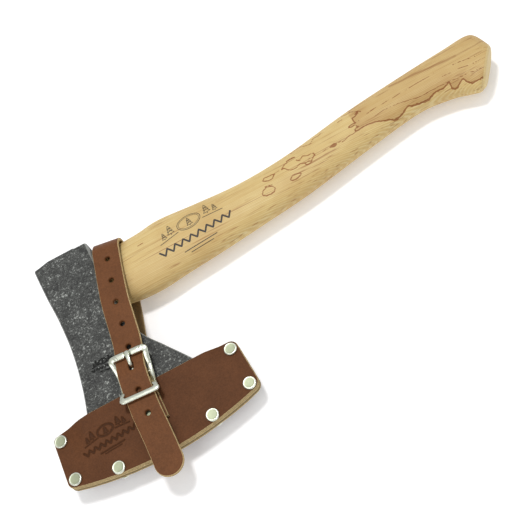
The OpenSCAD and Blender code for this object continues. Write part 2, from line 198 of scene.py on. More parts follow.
def slab(name, outline, holes, thick, place, body, slot, material, grid, edge, relief=None, heights=None,
         rows=(0.25, 0.5, 0.75), fuzz=0.08, bulge=0.15, seams=(), flip=False, dense=(), replaces=(),
         cut_width=0.5, marks=None, sharp=0):
    """A sheet cut to an outline, with rounded edges.

    place(s, v, w) puts it in space, w being the height over its middle. edge has the radii of the
    top and bottom rims. rows says how far down the cut wall, from 0 to 1, its rings of points lie.
    seams are the values of s at which another sheet goes on, so there is no wall. dense has boxes
    with a finer grid. heights gives the top and bottom faces of a sheet that isn't flat.
    """
    loops = [resample(np.asarray(l, float), grid) for l in [outline, *holes]]
    pts, links, solid, border = [], [], [], []

    def on_seam(a, b):
        return any(abs(a[0] - s) < 1e-6 and abs(b[0] - s) < 1e-6 for s in seams)

    for loop in loops:
        k = len(pts)
        pts += list(loop)
        for i in range(len(loop)):
            a, b = loop[i], loop[(i + 1) % len(loop)]
            links.append((k + i, k + (i + 1) % len(loop)))
            if not on_seam(a, b):
                solid.append((a, b))
                if loop is loops[0]:
                    border.append((a, b))
    # Rings of points beside the cut edges carry their rounding.
    for share in (0.18, 0.42, 0.75, 1.15):
        d = share * max(edge)
        for loop in loops:
            ahead = np.roll(loop, -1, 0) - np.roll(loop, 1, 0)
            normal = np.stack([-ahead[:, 1], ahead[:, 0]], 1)
            normal /= np.linalg.norm(normal, axis=1)[:, None] + 1e-12
            p = loop + normal * (d if loop is loops[0] else -d)
            keep = gap_to(p, solid) > d * 0.93
            pts += list(p[keep])
    # A grid of points fills the rest.
    lo, hi = loops[0].min(0), loops[0].max(0)
    lines = np.arange(lo[1] + 0.3 * grid, hi[1], grid * 0.87)
    inner = np.array([(x + (0.5 * grid if i % 2 else 0), y)
                      for i, y in enumerate(lines) for x in np.arange(lo[0] + 0.3 * grid, hi[0], grid)])
    inner = inner[gap_to(inner, solid) > 1.15 * max(edge) + 0.45 * grid]
    for (x0, y0, x1, y1), step in dense:
        fine = np.array([(x, y) for x in np.arange(x0, x1, step) for y in np.arange(y0, y1, step)])
        fine = fine[gap_to(fine, solid) > 1.2 * max(edge)]
        within = np.all((inner > (x0 - step, y0 - step)) & (inner < (x1, y1)), 1)
        inner = np.vstack([inner[~within], fine])
    pts += list(inner)
    verts2, _, tris, *_ = geometry.delaunay_2d_cdt([Vector(p) for p in pts], links, [], 0, 1e-5)
    v2 = np.array([tuple(v) for v in verts2])
    tri = np.array([t for t in tris if len(t) == 3])
    # Only triangles inside the outline and outside the holes stay, all turned the same way.
    mid = v2[tri].mean(1)
    keep = inside(mid, loops[0])
    for loop in loops[1:]:
        keep &= ~inside(mid, loop)
    tri = tri[keep]
    a, b, c = (v2[tri[:, k]] for k in range(3))
    turn = (b[:, 0] - a[:, 0]) * (c[:, 1] - a[:, 1]) - (b[:, 1] - a[:, 1]) * (c[:, 0] - a[:, 0])
    tri = tri[np.abs(turn) > 1e-9]
    turn = turn[np.abs(turn) > 1e-9]
    tri[turn < 0] = tri[turn < 0][:, ::-1]
    used = np.unique(tri)
    index = np.full(len(v2), -1)
    index[used] = np.arange(len(used))
    v2, tri = v2[used], index[tri]
    depth = gap_to(v2, solid)

    if heights:
        top, low = heights(v2[:, 0], v2[:, 1], depth)
    else:
        top, low = thick / 2 - round_off(depth, edge[0]), -thick / 2 + round_off(depth, edge[1])
    if relief is not None:
        top = top + relief(v2[:, 0], v2[:, 1])
    n = len(v2)
    # The rim is every side that only one triangle has, apart from the seams. It gets a wall.
    sides = {(int(t[k]), int(t[(k + 1) % 3])): None for t in tri for k in range(3)}
    rim = [e for e in sides if (e[1], e[0]) not in sides and not on_seam(v2[e[0]], v2[e[1]])]
    after = {e[0]: e[1] for e in rim}
    before = {e[1]: e[0] for e in rim}
    ids = sorted(set(after) | set(before))
    row = {i: k for k, i in enumerate(ids)}
    push = []
    for i in ids:
        p = v2[after.get(i, i)] - v2[before.get(i, i)]
        push.append(np.array([p[1], -p[0]]) / (np.linalg.norm(p) + 1e-12))
    push = np.array(push)
    s, v, w = [v2[:, 0], v2[:, 0]], [v2[:, 1], v2[:, 1]], [top, low]
    # The light cut-edge colour goes only on and beside the outline's wall; hole walls keep the face colour,
    # as painted shade inside the holes.
    rim_gap = gap_to(v2, border)
    near_edge = 1 - smooth(rim_gap / cut_width)
    outer_rim = rim_gap[ids] < 1e-3
    cut = [near_edge, near_edge]
    under = [np.zeros(n), np.ones(n)]
    deep = [depth, depth]
    steps = len(rows) + 1
    for k, f in enumerate(rows, 1):
        rough = fuzz * wobble(np.column_stack([v2[ids], np.full(len(ids), 1.7 * k)]), 0.9, 5 + k)
        q = v2[ids] + push * (bulge * math.sin(math.pi * f) + rough)[:, None]
        s.append(q[:, 0])
        v.append(q[:, 1])
        w.append(top[ids] * (1 - f) + low[ids] * f)
        cut.append(np.where(outer_rim, 1.0, 0.2))
        under.append(np.full(len(ids), f))
        deep.append(np.zeros(len(ids)))
    faces = [tuple(t) for t in tri] + [tuple(t[::-1] + n) for t in tri]
    for i, j in rim:
        chain_i = [i] + [2 * n + k * len(ids) + row[i] for k in range(steps - 1)] + [n + i]
        chain_j = [j] + [2 * n + k * len(ids) + row[j] for k in range(steps - 1)] + [n + j]
        for k in range(steps):
            faces.append((chain_i[k], chain_i[k + 1], chain_j[k + 1], chain_j[k]))
    s, v, w, deep, under = (np.concatenate(x) for x in (s, v, w, deep, under))
    data = {"cut": np.concatenate(cut), "under": under, "rest": np.column_stack([s, v, w])}
    for key, fn in (marks or {}).items():
        data[key] = fn(s, v, deep, under)
    verts = place(s, v, w)
    if flip:
        faces = [f[::-1] for f in faces]
    return add_mesh(name, verts, faces, body, slot, material, points=data, sharp=sharp, replaces=replaces)


def lathe(profile, centre, axis, turns, start=0.0):
    """Vertices and faces of a turned shape. The profile's points are (radius, height along the axis)."""
    z = np.array(axis, float) / np.linalg.norm(axis)
    x = np.cross(z, [0.0, 1.0, 0.0] if abs(z[1]) < 0.9 else [1.0, 0.0, 0.0])
    x /= np.linalg.norm(x)
    y = np.cross(z, x)
    verts, rings, faces = [], [], []
    for r, h in profile:
        if r < 1e-6:
            rings.append([len(verts)])
            verts.append(np.array(centre) + z * h)
        else:
            rings.append(list(range(len(verts), len(verts) + turns)))
            for k in range(turns):
                a = 2 * math.pi * k / turns + start
                verts.append(np.array(centre) + z * h + r * (x * math.cos(a) + y * math.sin(a)))
    for p, q in zip(rings, rings[1:]):
        for k in range(turns):
            m = (k + 1) % turns
            if len(p) == 1:
                faces.append((p[0], q[m], q[k]))
            elif len(q) == 1:
                faces.append((p[k], p[m], q[0]))
            else:
                faces.append((p[k], p[m], q[m], q[k]))
    return verts, [f[::-1] for f in faces]


class Ribbon:
    """A path for a flat strip: s runs along it, v across, and w away from its outer face."""

    def __init__(self, points, across):
        p = np.asarray(points, float)
        u = np.asarray(across, float)
        step = np.linalg.norm(np.diff(p, axis=0), axis=1)
        self.s = np.concatenate([[0], np.cumsum(step)])
        self.p = p
        t = np.gradient(p, self.s, axis=0)
        t /= np.linalg.norm(t, axis=1)[:, None]
        u = u - (u * t).sum(1)[:, None] * t
        self.u = u / np.linalg.norm(u, axis=1)[:, None]
        self.n = np.cross(t, self.u)

    def place(self, s, v, w):
        pick = lambda a: np.stack([np.interp(s, self.s, a[:, k]) for k in range(3)], 1)
        extra = np.where(s < 0, s, np.where(s > self.s[-1], s - self.s[-1], 0.0))
        t = np.cross(self.u, self.n)
        ends = np.where((s < 0)[:, None], t[0], t[-1])
        return pick(self.p) + pick(self.u) * v[:, None] + pick(self.n) * w[:, None] + ends * extra[:, None]

    def find(self, index, value, after=0.0):
        """The s beyond which a coordinate of the path has passed a value."""
        ok = np.where((self.s[1:] >= after)
                      & ((self.p[:-1, index] - value) * (self.p[1:, index] - value) <= 0))[0]
        i = ok[0]
        a, b = self.p[i, index], self.p[i + 1, index]
        return float(self.s[i] + (self.s[i + 1] - self.s[i]) * (value - a) / (b - a))


# -------- materials

def colour(r, g, b):
    """Linear colour from screen values of 0 to 255."""
    return tuple((c / 255 / 12.92) if c / 255 <= 0.04045 else ((c / 255 + 0.055) / 1.055) ** 2.4
                 for c in (r, g, b)) + (1.0,)


class Paint:
    """A material's nodes, added one after another."""

    def __init__(self, name):
        self.material = bpy.data.materials.new(name)
        self.material.use_nodes = True
        self.tree = self.material.node_tree
        self.bsdf = next(n for n in self.tree.nodes if n.type == "BSDF_PRINCIPLED")
        self.rest = self.add("ShaderNodeAttribute", attribute_name="rest").outputs["Vector"]

    def add(self, kind, inputs=None, **values):
        node = self.tree.nodes.new(kind)
        for key, value in values.items():
            setattr(node, key, value)
        for key, value in (inputs or {}).items():
            self.put(node.inputs[key], value)
        return node

    def put(self, socket, value):
        if isinstance(value, bpy.types.NodeSocket):
            self.tree.links.new(value, socket)
        else:
            socket.default_value = value

    def set(self, **values):
        for key, value in values.items():
            self.put(self.bsdf.inputs[key.replace("_", " ")], value)

    def attribute(self, name):
        return self.add("ShaderNodeAttribute", attribute_name=name).outputs["Fac"]

    def scaled(self, x, y, z, turn=0.0):
        """The resting place, scaled along each axis and then turned about Z by some radians."""
        return self.add("ShaderNodeMapping", {"Vector": self.rest, "Scale": (x, y, z),
                                              "Rotation": (0, 0, turn)}).outputs["Vector"]

    def noise(self, scale, detail=3.0, rough=0.5, vector=None, distort=0.0):
        return self.add("ShaderNodeTexNoise", {
            "Vector": vector or self.rest, "Scale": scale, "Detail": detail,
            "Roughness": rough, "Distortion": distort}).outputs["Fac"]

    def cells(self, scale):
        return self.add("ShaderNodeTexVoronoi", {"Vector": self.rest, "Scale": scale}).outputs["Distance"]

    def ramp(self, value, *stops):
        node = self.add("ShaderNodeValToRGB", {"Fac": value})
        ramp = node.color_ramp
        while len(ramp.elements) < len(stops):
            ramp.elements.new(0.5)
        for element, (place, shade) in zip(ramp.elements, stops):
            element.position = place
            element.color = shade if isinstance(shade, tuple) else (shade, shade, shade, 1.0)
        return node.outputs["Color"]

    def mix(self, factor, a, b, kind="MIX"):
        node = self.add("ShaderNodeMix", data_type="RGBA", blend_type=kind)
        self.put(node.inputs[0], factor)
        self.put(node.inputs[6], a)
        self.put(node.inputs[7], b)
        return node.outputs[2]

    def math(self, kind, a, b):
        return self.add("ShaderNodeMath", {0: a, 1: b}, operation=kind).outputs[0]

    def over(self, base, shade, height, low, high, strength):
        """The base with a shade over it, which comes in as a height goes from low to high."""
        return self.mix(self.ramp(height, (low, 0.0), (high, strength)), base, shade)

    def pressed(self, base, shade, strength):
        return self.mix(self.math("MULTIPLY", self.attribute("press"), strength), base, shade)

    def frayed(self, name, grain, strength):
        """A point value whose boundary wanders with some noise."""
        wander = self.math("MULTIPLY", self.math("SUBTRACT", grain, 0.5), strength)
        return self.math("ADD", self.attribute(name), wander)

    def bump(self, *layers):
        """Layers are (height, depth in mm)."""
        normal = None
        for height, depth in layers:
            inputs = {"Height": height, "Distance": depth / 1000, "Strength": 1.0}
            if normal:
                inputs["Normal"] = normal
            normal = self.add("ShaderNodeBump", inputs).outputs["Normal"]
        self.set(Normal=normal)


def shade_of(c, k):
    return tuple(min(1.0, v * k) for v in c[:3]) + (1.0,)


def leather(name, mid, flesh, edge, sheen):
    """Dyed leather with its colour mid, its underside flesh and its cut edge."""
    p = Paint(name)
    dark, light = shade_of(mid, 0.72), shade_of(mid, 1.38)
    cloud = p.noise(0.05, 3, 0.5)
    fine = p.noise(1.1, 5, 0.65)
    mottle = p.noise(0.42, 4, 0.65)
    fleck = p.noise(1.35, 2, 0.5)
    rub = p.noise(0.22, 6, 0.7, p.scaled(1, 0.4, 1, 0.7))
    scuff = p.noise(0.5, 3, 0.6, p.scaled(0.25, 2.2, 1, 0.5))
    base = p.ramp(cloud, (0.30, shade_of(mid, 0.80)), (0.70, shade_of(mid, 1.20)))
    base = p.mix(0.5, base, p.ramp(fine, (0.34, dark), (0.66, light)))
    base = p.over(base, shade_of(mid, 0.70), mottle, 0.50, 0.72, 0.45)
    base = p.over(base, shade_of(mid, 1.75), fleck, 0.66, 0.74, 0.35)
    base = p.over(base, light, rub, 0.58, 0.80, 0.30)
    base = p.over(base, shade_of(mid, 1.7), scuff, 0.68, 0.76, 0.30)
    # Painted shade in the pressed grooves of the decoration.
    base = p.pressed(base, shade_of(mid, 0.30), 0.62)
    suede = p.ramp(p.noise(1.6, 5, 0.7), (0.3, shade_of(flesh, 0.7)), (0.7, flesh))
    fibre = p.ramp(p.noise(1.3, 5, 0.8, p.scaled(1, 1, 2.6)),
                   (0.30, shade_of(edge, 0.45)), (0.50, edge), (0.72, shade_of(edge, 1.5)))
    level = p.attribute("under")
    under = p.ramp(level, (0.72, 0.0), (0.9, 1.0))
    cut = p.ramp(p.frayed("cut", p.noise(0.9, 4, 0.7), 0.5), (0.60, 0.0), (0.74, 1.0))
    # The cut edge has a dark line just under the top face, and another at the bottom one: burnished edge with
    # painted shade where the layers meet.
    burnish_and_shade = p.ramp(level, (0.0, 0.0), (0.10, 0.0), (0.20, 1.0), (0.72, 1.0), (0.90, 0.12))
    layer = p.math("MAXIMUM", p.ramp(level, (0.0, 1.0), (0.02, 0.0)), burnish_and_shade)
    fibre = p.mix(layer, shade_of(edge, 0.30), fibre)
    bare = p.math("MAXIMUM", under, cut)
    p.set(Base_Color=p.mix(cut, p.mix(under, base, suede), fibre),
          Roughness=p.ramp(bare, (0.0, 0.55), (1.0, 0.92)), Specular_IOR_Level=sheen)
    fluff = p.math("MULTIPLY", p.noise(2.2, 4, 0.8), bare)
    p.bump((p.cells(2.4), 0.05), (fine, 0.14), (mottle, 0.25), (fluff, 0.6))
    return p.material


def steel(name, dark, mid, light, wear_and_highlight):
    """Forged steel: dark scale, pits, light specks and scratches, and light edges that are painted highlight
    with some wear.
    """
    p = Paint(name)
    grit = p.noise(0.95, 6, 0.8)
    specks = p.noise(0.62, 4, 0.75)
    scale = p.noise(0.13, 6, 0.68, distort=0.9)
    pits = p.noise(0.45, 5, 0.7)
    scratch = p.noise(1.0, 3, 0.55, p.scaled(0.4, 2.4, 1.0, 0.9))
    base = p.ramp(grit, (0.36, dark), (0.50, mid), (0.60, shade_of(mid, 1.7)))
    base = p.mix(p.ramp(scale, (0.34, 0.5), (0.50, 0.0)), base, dark)
    base = p.mix(p.ramp(pits, (0.30, 0.8), (0.42, 0.0)), base, shade_of(dark, 0.5))
    crust = p.math("ADD", p.math("MULTIPLY", scale, 0.45), specks)
    base = p.over(base, light, crust, 0.80, 0.90, 0.9)
    base = p.over(base, light, scratch, 0.64, 0.70, 0.75)
    base = p.pressed(base, shade_of(dark, 0.35), 0.75)
    # Lighter edges: painted highlight with some wear, where the point value is high.
    edge = p.ramp(p.frayed("wear_and_highlight", p.noise(0.7, 4, 0.7), 0.7), (0.45, 0.0), (0.62, 1.0))
    p.set(Base_Color=p.mix(edge, base, wear_and_highlight), Metallic=0.35, Specular_IOR_Level=0.3,
          Roughness=p.mix(edge, p.ramp(grit, (0.3, 0.5), (0.7, 0.72)), (0.42, 0.42, 0.42, 1.0)))
    p.bump((scale, 0.45), (pits, 0.35), (grit, 0.35))
    return p.material


def nickel(name, tint, rough, dull=None):
    """Bright nickel. A dull colour, where given, is on the parts whose flat value is 1."""
    p = Paint(name)
    brush = p.noise(0.5, 4, 0.6)
    smear = p.noise(0.12, 4, 0.6)
    base = p.ramp(smear, (0.3, shade_of(tint, 0.9)), (0.7, tint))
    if dull:
        flat = p.attribute("flat")
        base = p.mix(flat, base, p.ramp(brush, (0.3, shade_of(dull, 0.86)), (0.7, dull)))
        gloss = p.ramp(brush, (0.3, rough * 0.8), (0.7, rough * 1.3))
        p.set(Roughness=p.mix(flat, gloss, (0.5, 0.5, 0.5, 1.0)))
    else:
        p.set(Roughness=p.ramp(brush, (0.3, rough * 0.9), (0.7, rough * 1.15)))
    p.set(Base_Color=base, Metallic=0.85 if dull else 1.0)
    p.bump((smear, 0.02))
    return p.material


HEARTWOOD = (0.81, 0.71, 0.66, 1.0)


def wood(name, pale, mid, dark, spalt):
    """Wood with its grain along X, and the dark lines and stains that its point values draw."""
    p = Paint(name)
    rings = p.noise(1.0, 3, 0.45, p.scaled(0.006, 0.42, 0.42), 0.35)
    waves = p.add("ShaderNodeTexWave", {
        "Vector": p.scaled(0.004, 0.16, 0.10), "Scale": 1.0, "Distortion": 2.6,
        "Detail": 3.0, "Detail Scale": 1.2}, bands_direction="Y").outputs["Fac"]
    fibre = p.noise(1.0, 4, 0.7, p.scaled(0.09, 3.2, 3.2))
    blotch = p.noise(0.022, 4, 0.6)
    streak = p.noise(1.0, 2, 0.5, p.scaled(0.016, 0.85, 0.85))
    fleck = p.noise(1.0, 2, 0.5, p.scaled(0.05, 1.3, 1.3))
    base = p.ramp(waves, (0.08, mid), (0.4, pale), (0.75, pale), (0.95, mid))
    base = p.over(base, mid, rings, 0.42, 0.60, 0.55)
    base = p.over(base, dark, blotch, 0.42, 0.72, 0.5)
    base = p.over(base, dark, fibre, 0.50, 0.72, 0.38)
    base = p.over(base, spalt, streak, 0.60, 0.70, 0.60)
    base = p.over(base, spalt, fleck, 0.70, 0.78, 0.4)
    base = p.over(base, spalt, p.frayed("mark", p.noise(0.8, 4, 0.7), 0.55), 0.47, 0.68, 0.85)
    stain = p.frayed("stain", p.noise(0.3, 4, 0.7, p.scaled(0.3, 1, 1)), 0.5)
    base = p.over(base, spalt, stain, 0.3, 0.9, 0.6)
    base = p.mix(p.attribute("heart"), base, HEARTWOOD, "MULTIPLY")
    base = p.mix(p.math("MULTIPLY", p.attribute("fresh"), 0.6), base, shade_of(pale, 1.08))
    p.set(Base_Color=base, Roughness=p.ramp(fibre, (0.3, 0.42), (0.7, 0.58)), Specular_IOR_Level=0.25)
    p.bump((fibre, 0.05), (waves, 0.06))
    return p.material


def grey(level):
    return colour(level, level, level)


BRIGHT, TARNISHED = colour(226, 230, 214), colour(158, 164, 138)
SHEATH = leather("sheath_leather", colour(92, 57, 34), colour(160, 130, 90), colour(205, 180, 132), 0.10)
STRAP = leather("strap_leather", colour(105, 66, 39), colour(170, 140, 98), colour(214, 186, 136), 0.12)
FORGED = steel("forged_steel", grey(40), colour(74, 75, 73), colour(178, 181, 176), colour(150, 152, 148))
WEDGE = steel("wedge_steel", grey(80), grey(120), grey(150), grey(180))
NICKEL = nickel("nickel", BRIGHT, 0.22)
RIVET = nickel("rivet_nickel", BRIGHT, 0.25, TARNISHED)
WOOD = wood("handle_wood", colour(216, 196, 142), colour(204, 176, 116), colour(182, 145, 89),
            colour(138, 82, 40))
END_WOOD = wood("wedge_wood", colour(196, 164, 112), colour(178, 142, 90), colour(150, 112, 66),
                colour(120, 80, 44))
ink = Paint("print")
ink.set(Base_Color=ink.ramp(ink.noise(0.9, 3), (0.35, colour(34, 30, 26)), (0.75, colour(62, 52, 40))),
        Roughness=0.6)
INK = ink.material


# -------- decoration: a plain fir tree in an oval ring

def oval(rx, ry):
    a = np.radians(np.linspace(0, 360, 40))
    return np.stack([rx * np.cos(a), ry * np.sin(a)], 1)


def fir(x, y, h):
    """Strokes of a small fir tree standing at a point."""
    out = [[(x, y), (x, y + 0.18 * h)]]
    for low, high, wide in ((0.16, 0.52, 0.30), (0.40, 0.76, 0.23), (0.64, 1.0, 0.16)):
        left, right = (x - wide * h, y + low * h), (x + wide * h, y + low * h)
        out.append([left, (x, y + high * h), right, left])
    return out


def emblem():
    """Strokes (points, width) of the whole decoration, about 58 wide and 28 high, centred on its oval."""
    out = [(oval(9.0, 5.6), 0.45), (oval(7.9, 4.6), 0.3)]
    out += [(t, 0.4) for t in fir(0, -3.9, 7.6)]
    for side in (-1, 1):
        out += [(t, 0.4) for t in fir(side * 14.5, -2.5, 9.0)]
        out += [(t, 0.35) for t in fir(side * 20.2, -3.6, 6.4)]
        out.append(([(side * 9.6, -3.4), (side * 25.0, -5.4)], 0.5))
    low, high = -14.6, -10.2
    out.append(([(x, low if i % 2 else high) for i, x in enumerate(np.linspace(-28.5, 28.5, 19))], 1.3))
    out.append(([(-13, -19.4), (13, -19.4)], 0.55))
    out.append(([(-9, -21.6), (9, -21.6)], 0.45))
    return out


def turned(points, x, y, radians, scale=1.0):
    """Points in the plane after a turn about the origin and a move to (x, y)."""
    p = np.asarray(points, float)
    c, s = math.cos(radians) * scale, math.sin(radians) * scale
    return np.stack([x + p[:, 0] * c - p[:, 1] * s, y + p[:, 0] * s + p[:, 1] * c], 1)


def placed(strokes, x, y, scale, degrees):
    return [(turned(pts, x, y, math.radians(degrees), scale), width * scale) for pts, width in strokes]


def groove(strokes, x, y, depth, soft):
    """How far the strokes are pressed in at some points."""
    p = np.column_stack([x, y])
    out = np.zeros(len(p))
    for pts, width in strokes:
        near = np.all((p > pts.min(0) - 2) & (p < pts.max(0) + 2), 1)
        if near.any():
            d = gap_to(p[near], pairs(pts))
            out[near] = np.maximum(out[near], 1 - smooth((d - width / 2) / soft))
    return out * depth


# -------- head

# The head's thickness is a share of the eye's, which falls towards the cutting edge: (y, share).
TAPER = [(40, 1), (-24, 1), (-30, 0.985), (-50, 0.76), (-70, 0.5), (-90, 0.31), (-112, 0.13), (-129, 0.018)]
HEAD_RIGHT = [(-11.5, 31.5), (-10.5, 10), (-9, -15), (-7.5, -34), (-1, -54), (10.5, -70), (24, -88.5),
              (33, -103), (38, -117)]
HEAD_LEFT = [(-62.5, -114), (-58, -100), (-53.5, -82), (-50, -61), (-48.2, -40), (-49, -18), (-51.6, 5),
             (-53.6, 29.3)]
EDGE_X, EDGE_Y = -12, -128
POLL_Y = 31.8
taper_line = curve(TAPER, 120)
taper_line = taper_line[np.argsort(taper_line[:, 0])]
left_line = curve(HEAD_LEFT, 60)


def head_half(y):
    return 12.2 * np.interp(y, taper_line[:, 0], taper_line[:, 1])


def left_x(y):
    return np.interp(y, left_line[:, 1], left_line[:, 0])


def edge_point(x):
    """A point of the cutting edge, a parabola from its lowest point to each corner."""
    side = HEAD_RIGHT[-1] if x > EDGE_X else HEAD_LEFT[0]
    t = (x - EDGE_X) / (side[0] - EDGE_X)
    return (x, EDGE_Y + (side[1] - EDGE_Y) * t * t)


head_outline = np.vstack([
    curve(HEAD_RIGHT, 60)[1:], [edge_point(x) for x in np.linspace(38, -62.5, 44)[1:-1]], left_line[:-1],
    bend(HEAD_LEFT[-2], HEAD_LEFT[-1], (-42, POLL_Y), 1.6, 5), [(-42, POLL_Y), (-20, POLL_Y)],
    bend((-20, POLL_Y), (-11.5, 31.6), (-10.5, 10), 2.4, 5)])[::-1]
STAMP_SOFT = 0.35
stamp = placed(emblem(), -31.5, -60, 0.32, -3)


def head_heights(x, y, depth):
    h = head_half(y)
    r = np.where((x > -22) & (y > -30), 2.2, 1.3) * np.clip((y + 118) / 60, 0.0, 1)
    r = np.minimum(r, 0.45 * h)
    chamfer = (r - np.clip(depth, 0, r)) * 0.55 + 0.45 * round_off(depth, r)
    p = np.column_stack([x, y])
    rough = (0.16 * wobble(p, 9, 2) + 0.07 * wobble(p, 3.2, 7)) * np.clip(h / 6, 0, 1)
    return h - chamfer + rough - groove(stamp, x, y, 0.75, STAMP_SOFT), -h + chamfer - rough * 0.8


def head_wear_and_highlight(x, y, depth, level):
    """How much lighter the steel is: painted highlight with some wear on the rims, most beside the eye, and
    bare ground steel on the cutting edge.
    """
    by_eye = (x > -22) & (y > -30)
    facet = np.where(by_eye, 1.0, 0.62)
    rim = facet * (1 - smooth((depth - 0.5) / np.where(by_eye, 1.9, 1.0)))
    wall = (level > 0.001) & (level < 0.999)
    side = np.minimum(level, 1 - level)
    # The wall's top and bottom edges get thin painted highlights.
    out = np.where(wall, np.where(side < 0.05, 0.8 * facet, 0.0), rim)
    ground = 1 - smooth((y - EDGE_Y - 0.0045 * (x - EDGE_X) ** 2 - 4) / 4)
    return np.maximum(out, 0.9 * ground)


def pressed_by(strokes, soft):
    """Where a decoration darkens the top face."""
    return lambda x, y, depth, level: groove(strokes, x, y, 1, soft) * (level < 0.01)


def flat_place(s, v, w):
    return np.column_stack([s, v, w])


# The head's light rims are painted highlight with some wear.
head = slab("head", head_outline, [], 24.4, flat_place, "axe", "forged_steel", FORGED, grid=1.15,
            edge=(1.3, 1.3), heights=head_heights, rows=(0.03, 0.09, 0.35, 0.65, 0.91, 0.97), fuzz=0.12,
            bulge=0.0, dense=[((-42, -69, -21, -56), 0.34)], replaces=["axe_head"], sharp=35,
            marks={"wear_and_highlight": head_wear_and_highlight, "press": pressed_by(stamp, STAMP_SOFT)})

# The eye goes through the head along X.
eye = [(12 * math.copysign(1, math.cos(a)) + 7.5 * math.cos(a), 7.5 * math.sin(a))
       for a in np.linspace(0.001, 2 * math.pi + 0.001, 64, endpoint=False)]
k = len(eye)
cutter_ends = at([(x, y, z) for x in (-90, 0) for y, z in eye])
cutter_faces = [tuple(range(k))[::-1], tuple(range(k, 2 * k))]
cutter_faces += [(i, (i + 1) % k, k + (i + 1) % k, k + i) for i in range(k)]
cutter_mesh = bpy.data.meshes.new("eye_cutter")
cutter_mesh.from_pydata([tuple(v) for v in cutter_ends], [], cutter_faces)
cutter = new_object("eye_cutter", cutter_mesh)
carve = head.modifiers.new("eye", "BOOLEAN")
carve.operation, carve.solver, carve.object = "DIFFERENCE", "EXACT", cutter
bpy.context.view_layer.update()
carved = bpy.data.meshes.new_from_object(head.evaluated_get(bpy.context.evaluated_depsgraph_get()))
head.modifiers.clear()
head.data = carved
carved.name = "head"
bpy.data.objects.remove(cutter)
co = np.zeros(len(carved.vertices) * 3, np.float32)
carved.vertices.foreach_get("co", co)
rest = (co.reshape(-1, 3) * 1000 - DATUM).astype(np.float32)
layer = carved.attributes.get("rest") or carved.attributes.new("rest", "FLOAT_VECTOR", "POINT")
layer.data.foreach_set("vector", rest.ravel())

# -------- handle and its wedges

# Each rib is the handle's upper and lower point (x, y, x, y), and its share of the full thickness.
RIBS = [
    (-10.6, 20.5, -8.2, -22.6, 0.88), (8, 21.9, 8, -25.8, 0.97), (24, 22.8, 25, -26.4, 1),
    (41, 24.7, 45, -24.3, 1), (70, 21.6, 72, -21.8, 0.99), (105, 18.9, 105, -18, 0.97),
    (144, 21.5, 144, -13.3, 0.95), (195, 30.1, 194, -3.9, 0.94), (245, 35.5, 238, 3.3, 0.96),
    (277, 38.3, 262.3, 0.9, 1), (295, 40, 274.7, -3.3, 1), (301.5, 36, 282, -5.6, 1),
    (305.5, 22.5, 285.3, -3.8, 0.99)]
HALF_THICK, SQUARENESS = 11.2, 2.3
SIDES, STATIONS = 176, 560
ribs = curve(RIBS, STATIONS)
last = ribs[-1]
out_way = np.array([last[1] - last[3], last[2] - last[0]])
out_way /= np.linalg.norm(out_way)
angle = 2 * math.pi * np.arange(SIDES) / SIDES
round_p = np.sign(np.cos(angle)) * np.abs(np.cos(angle)) ** (2 / SQUARENESS)
round_q = np.sign(np.sin(angle)) * np.abs(np.sin(angle)) ** (2 / SQUARENESS)


def rib_ring(rib, grow=0.0, shift=0.0):
    """A ring of the handle's skin, drawn in by grow and moved out past the end by shift."""
    middle = (rib[:2] + rib[2:4]) / 2 + out_way * shift
    half = (rib[:2] - rib[2:4]) / 2
    length = np.linalg.norm(half)
    half = half * (length - grow) / length
    thick = rib[4] * HALF_THICK - grow
    return np.column_stack([middle[0] + half[0] * round_p, middle[1] + half[1] * round_p, thick * round_q])


rings = [rib_ring(r) for r in ribs]
rings[-1] = rib_ring(last, 0.12, -0.1)
for grow, shift in ((0.5, 0.35), (1.2, 0.95), (1.8, 1.25), (2.3, 1.36), (4.5, 1.42), (8.0, 1.44)):
    rings.append(rib_ring(last, grow, shift))
skin = np.vstack(rings)
skin_faces = []
for a in range(0, len(skin) - SIDES, SIDES):
    b = a + SIDES
    skin_faces += [(a + j, b + j, b + (j + 1) % SIDES, a + (j + 1) % SIDES) for j in range(SIDES)]
n = len(skin)
faces = skin_faces + [tuple(range(SIDES)), tuple(range(n - SIDES, n))[::-1]]
# The handle's tongue fills the eye, as far as the head's far side.
m = len(eye)
in_eye = np.array([(y * 0.995, z * 0.987) for y, z in eye])
tongue_far = np.column_stack([left_x(in_eye[:, 0]), in_eye])
tongue_near = np.column_stack([np.full(m, -5.0), in_eye])
verts = np.vstack([skin, tongue_far, tongue_near])
faces += [(n + i, n + m + i, n + m + (i + 1) % m, n + (i + 1) % m) for i in range(m)]
faces += [(n + i, n + m - i - 1, n + m - i - 2, n + i + 1) for i in range(m // 2 - 1)]

